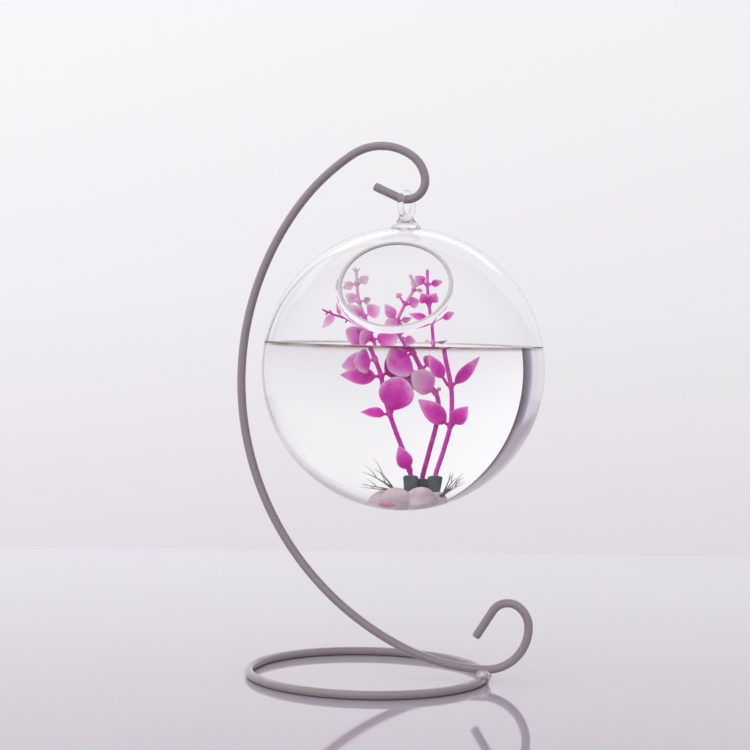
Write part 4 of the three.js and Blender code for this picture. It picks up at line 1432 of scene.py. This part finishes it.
print("one leaf:", len(leaf_shell(16, 9, 1.6, 0).points), "points")

# %% [markdown]
# Each entry below is one sleeve: where it sits as a share of the plant's height, how pale its leaves are,
# and its leaves. A leaf is its tip's place from the stem (across, away from the front and up), its width,
# its face's turn from the front and, where it has a stalk of its own length, that length. In the dense
# cluster at the middle of the plant, the leaves are made fuller than their solids, so that little shows
# between them.

# %% Leaves on their sleeves
LEAVES = {
    "a": [
        (0.03, 0.0, [(-4.6, -3, 9.6, 6, 0, 0.3)]),
        (0.27, 0.0, [(3.8, -4.5, 14.7, 14.5, 0), (-11.7, -2, 1, 4.5, 30)]),
        (0.43, 0.0, [(-16.5, 1, 0, 5, 0), (9, 6, 7, 9, 20)]),
        (0.5, 0.2, [(-8.5, -5, -1.2, 7.5, 0), (-13.5, 4.5, -3, 6, 20)]),
        (0.62, 0.2, [(-14.5, -3, 4.5, 9, -20), (-6, -6, 4, 9, 10), (13, -4, 2, 9, 0)]),
        (0.7, 0.5, []),
        (0.75, 0.5, [(-8.8, -3, 6.3, 5.5, 10), (7.7, -2, 5.4, 8, -10)]),
        (0.83, 0.7, [(6.3, 1, 1.5, 4, 30), (-7.4, -1, 4.1, 5.5, 0)]),
        (0.93, 0.8, [(-7.5, -2, -2.3, 4, 0), (6.3, -1, 4.3, 4.5, 0), (-7.4, 2, 0.7, 2, 0)]),
    ],
    "b": [
        (0.365, 0.45, [(-8.5, -6, 8, 10, 20), (2.3, -2, 1.7, 1.6, 0)]),
        (0.46, 0.15, [(-7, -2.5, -6, 9, 0), (5, 2, 5, 4.5, 10)]),
        (0.53, 0.1, [(-9, -6, -7, 10, 0), (-4, 4, 3, 6, 0)]),
        (0.63, 0.4, [(7.5, -2, -2, 4, 20), (-8, 3, 10.5, 8, 0)]),
        (0.733, 0.4, [(-7, -3, 8.4, 5.5, 0), (7.6, -1, 0.8, 3.5, 30)]),
        (0.825, 0.3, [(-4.6, -1, 5.7, 3.2, 0, 3.5), (7.7, 1, 2, 5.5, 0)]),
        (0.905, 0.7, [(1.5, 4.5, 6.5, 4, 0), (5.4, 2, -0.5, 1.8, 0)]),
    ],
    "c": [
        (0.226, 0.0, [(-12.8, -3, 10.3, 7.5, 10), (6.8, -3, 7.7, 6.5, -10)]),
        (0.395, 0.0, [(11.8, -1, 11.8, 4.5, 10), (-9.4, 1.5, 12.3, 5, 0, 4)]),
        (0.612, 0.5, [(-4.5, -1, 0.8, 4, 70), (7.6, -1, 0.6, 4, 70)]),
        (0.735, 0.1, [(-12, -2, 3.8, 4, 20), (12.2, -2, 4.1, 4.5, 10, 5)]),
        (0.825, 0.15, [(-4.3, -3, 5.8, 5.5, 0), (3.4, -3, 6, 5.5, 0)]),
        (0.935, 0.2, [(8.3, -1, 1.7, 3.5, 10), (-6.6, -3, 4.3, 5, 0)]),
    ],
}
SHOOT_STEM = "a"
SHOOT_SLEEVE = 6
SHOOT_TIP = np.array((-24.5, -1, 8))
SHOOT_LEAVES = [(0.6, (-0.5, -1, 8, 3.6, 30)), (0.7, (-7, -1.5, -7, 4.5, 20))]
SHOOT_STUBS = [
    (0.42, (-1.2, 0, -2.2)), (0.5, (-1.5, -1, 1.6)), (0.78, (-1.4, 0, 1.6)), (0.86, (-1.5, 0, -1.8)),
]
SHOOT_STEPS = 40
SHOOT_SIDES = 14
SHOOT_WAVE = 0.4
TWIG_DIAMETER = 1.5
TWIG_TIP_DIAMETER = 1
TWIG_FADE = 0.1
CLUSTER_STEMS = "ab"
CLUSTER = (0.42, 0.64)
CLUSTER_FULLNESS = 1.28
SLEEVE_GRIP = 0.1
SLEEVE_ROWS = 13
SLEEVE_COLUMNS = 20
SLEEVE_SQUARENESS = (0.4, 0.6)
SLEEVE_FADE = (0.15, 0.6)
STEP_ALONG = 0.2

stalk_root = (STEM_DIAMETER + SLEEVE_SWELL) / 2


def sleeve_shell(fade):
    """A short turned bush with rounded edges that fits the stem closely."""
    bore = STEM_DIAMETER / 2 - SLEEVE_GRIP
    outer = STEM_DIAMETER / 2 + SLEEVE_SWELL
    turn = np.linspace(-pi / 2, pi / 2, SLEEVE_ROWS)
    side_power, end_power = SLEEVE_SQUARENESS
    radius = bore + (outer - bore) * np.cos(turn) ** side_power
    bulge = np.sign(np.sin(turn)) * np.abs(np.sin(turn)) ** end_power
    profile = np.stack((radius, SLEEVE_LENGTH / 2 * bulge), -1)
    shell = lathe(profile, SLEEVE_COLUMNS, -SLEEVE_LENGTH / 2, SLEEVE_LENGTH / 2)
    shell.values["fade"] = np.full(len(shell.points), fade)
    return shell


def root_on_sleeve(place, direction, reach):
    """Where something that reaches out to a tip leaves a sleeve: on its wall, on the tip's side."""
    return place + stalk_root * unit(reach - (reach @ direction) * direction)


def towards(root, tip, turn):
    """The turn that points +X from a root to a tip, with +Z as near to the front as that leaves it, and
    then turns about the line by an angle."""
    along = unit(tip - root)
    across = unit(np.cross((0, -1, 0), along))
    return np.stack((along, across, np.cross(along, across)), -1) @ turned("X", turn)


def leaf_between(root, leaf, pale, start=None, fullness=1):
    """A leaf from a root to its tip, whose place counts from start, as much wider as fullness says."""
    across, away, up, width, turn, *stalk = leaf
    tip = (root if start is None else start) + np.array((across, away, up))
    length = np.linalg.norm(tip - root)
    width *= fullness * np.interp(width, (POINTED_WIDTH, ROUND_WIDTH), (LEAF_FULLNESS, 1))
    stalk_length = stalk[0] if stalk else LEAF_STALK_LENGTH
    return leaf_shell(length, width, stalk_length, pale).placed(towards(root, tip, turn), root)


def shoot_shells(place, direction, pale):
    """A thin side stem from a sleeve, with spurs and two leaves of its own."""
    root = root_on_sleeve(place, direction, SHOOT_TIP)
    line = place + SHOOT_TIP - root
    run = np.linspace(0, 1, SHOOT_STEPS)[:, None]
    wave = SHOOT_WAVE * np.sin(2 * pi * run) * np.array((0, 0, 1))
    radius = (TWIG_DIAMETER + (TWIG_TIP_DIAMETER - TWIG_DIAMETER) * run[:, 0]) / 2
    fade = {"fade": np.full_like(run, TWIG_FADE)}
    shells = [tube(root + run * line + wave, radius, SHOOT_SIDES, values=fade)]
    shells += [leaf_between(root + at * line, leaf, pale) for at, leaf in SHOOT_LEAVES]
    shells += [stub_shell(root + at * line, reach, TWIG_FADE) for at, reach in SHOOT_STUBS]
    return shells


def place_on_stem(key, at):
    """The stem's point and direction where it passes a share of the plant's height."""
    path = stem_paths[key]
    height = socket_top + at * (plant_top - socket_top)
    along = np.interp(height, path[:, 2], lengths_along(path))
    before, here, after = sampled(path, along + np.array((-STEP_ALONG, 0, STEP_ALONG)))
    return here, unit(after - before)


def whorl_shell(key, number, at, pale, leaves):
    """One sleeve with its leaves, on its place along the stem."""
    place, direction = place_on_stem(key, at)
    crowded = key in CLUSTER_STEMS and CLUSTER[0] < at < CLUSTER[1]
    fullness = CLUSTER_FULLNESS if crowded else 1
    deep, paling = SLEEVE_FADE
    shells = [sleeve_shell(deep + paling * pale).placed(aligned(direction), place)]
    for leaf in leaves:
        root = root_on_sleeve(place, direction, np.array(leaf[:3], float))
        shells.append(leaf_between(root, leaf, pale, place, fullness))
    if key == SHOOT_STEM and number == SHOOT_SLEEVE:
        shells += shoot_shells(place, direction, pale)
    return joined(shells)


for key, sleeves in LEAVES.items():
    for number, sleeve in enumerate(sleeves, 1):
        whorl = whorl_shell(key, number, *sleeve).placed(ornament_turn, globe_middle)
        name = f"leaf_pair_{key}{number}"
        add_piece(name, whorl, leaf_plastic, "globe", "leaf_plastic", f"leaves_{key}{number}")

# %% [markdown]
# ## Grass
#
# Two tufts of stiff plastic grass stand in the heap. Each blade is a thin tapering tube along a curve,
# with a fork past its middle.

# %% Grass tufts
GRASS = {
    "left": ((-2.5, -6), [(-14, -2, 8), (-9, -1, 10), (-14, 1, 2.5), (-15.5, -2, 0.5), (-7, 3, 6)]),
    "right": ((18, -5), [(6, -2, 9.5), (8.5, 0, 9.5), (10, -1, 6), (4, -3, 11), (9, 2, 8)]),
}
GRASS_ROOT_DIAMETER = 3
BLADE_WIDTH = 0.9
BLADE_ARCH = 0.17
BLADE_STEPS = 24
BLADE_SIDES = 8
BLADE_TAPER = 0.75
BLADE_SIDE_AXIS = (0.1, 1, 0.05)
ROOT_GRID = (10, 16)
FORK_PLACE = 0.55
FORK_REACH = 0.3
FORK_LIFT = 3.0
FORK_SCATTER = 1.2
FORK_WIDTH = 0.55
FORK_FADE = 0.5
FADE_STREAK = 0.4


def root_place(side, x, y):
    """The root's middle: the tuft's solid is rooted where its own lowest point lies in the frame."""
    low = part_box(f"grass_{side}")[0].z / MM - globe_middle[2]
    return np.array((x, y, low + GRASS_ROOT_DIAMETER / 2))


def on_blade(root, reach, run):
    """Points on a quadratic curve from a root to its tip, which arches up by a share of its rise."""
    arch = np.array((0, 0, reach[2] * BLADE_ARCH))
    return root + reach * run + 4 * arch * run * (1 - run)


def blade_shell(root, reach, width):
    """A tube along the blade's curve, thinning to the tip; fade runs from 0 to 1."""
    run = np.linspace(0, 1, BLADE_STEPS)[:, None]
    radius = width / 2 * (1 - BLADE_TAPER * run[:, 0])
    return tube(on_blade(root, reach, run), radius, BLADE_SIDES, BLADE_SIDE_AXIS, {"fade": run})


def tuft_shell(side):
    """A root ball and its blades, each with a fork."""
    (x, y), blades = GRASS[side]
    root = root_place(side, x, y)
    shells = [skin(ball(*ROOT_GRID) * GRASS_ROOT_DIAMETER / 2 + root)]
    for blade in blades:
        reach = np.array(blade, float)
        shells.append(blade_shell(root, reach, BLADE_WIDTH))
        fork = on_blade(root, reach, FORK_PLACE)
        swing = np.array((0, 0, FORK_LIFT)) + dice.normal(size=3) * FORK_SCATTER
        twig = blade_shell(fork, reach * FORK_REACH + swing, BLADE_WIDTH * FORK_WIDTH)
        twig.values["fade"] = FORK_FADE + (1 - FORK_FADE) * twig.values["fade"]
        shells.append(twig)
    return joined(shells)


def grass_finish():
    """Clear plastic blades, dark at the root and pale at the tips."""
    material, flow, shader = new_material("grass_plastic", {"IOR": 1.46})
    streak = noise(flow, patches=700, detail=2.0)
    fade = attribute(flow, "fade") + (streak - 0.5) * FADE_STREAK
    wire(
        flow,
        shader,
        Base_Color=fade.ramp([
            (0.0, tone(70, 66, 68)),
            (0.4, tone(138, 128, 126)),
            (1.0, tone(214, 206, 202)),
        ]),
        Roughness=0.3 + streak * 0.2,
        Normal=bump(flow, streak, depth=0.0001),
    )
    return material


grass_plastic = grass_finish()
for side in GRASS:
    tuft = tuft_shell(side).placed(ornament_turn, globe_middle)
    add_piece(f"grass_tuft_{side}", tuft, grass_plastic, "globe", "grass_plastic", f"grass_{side}")
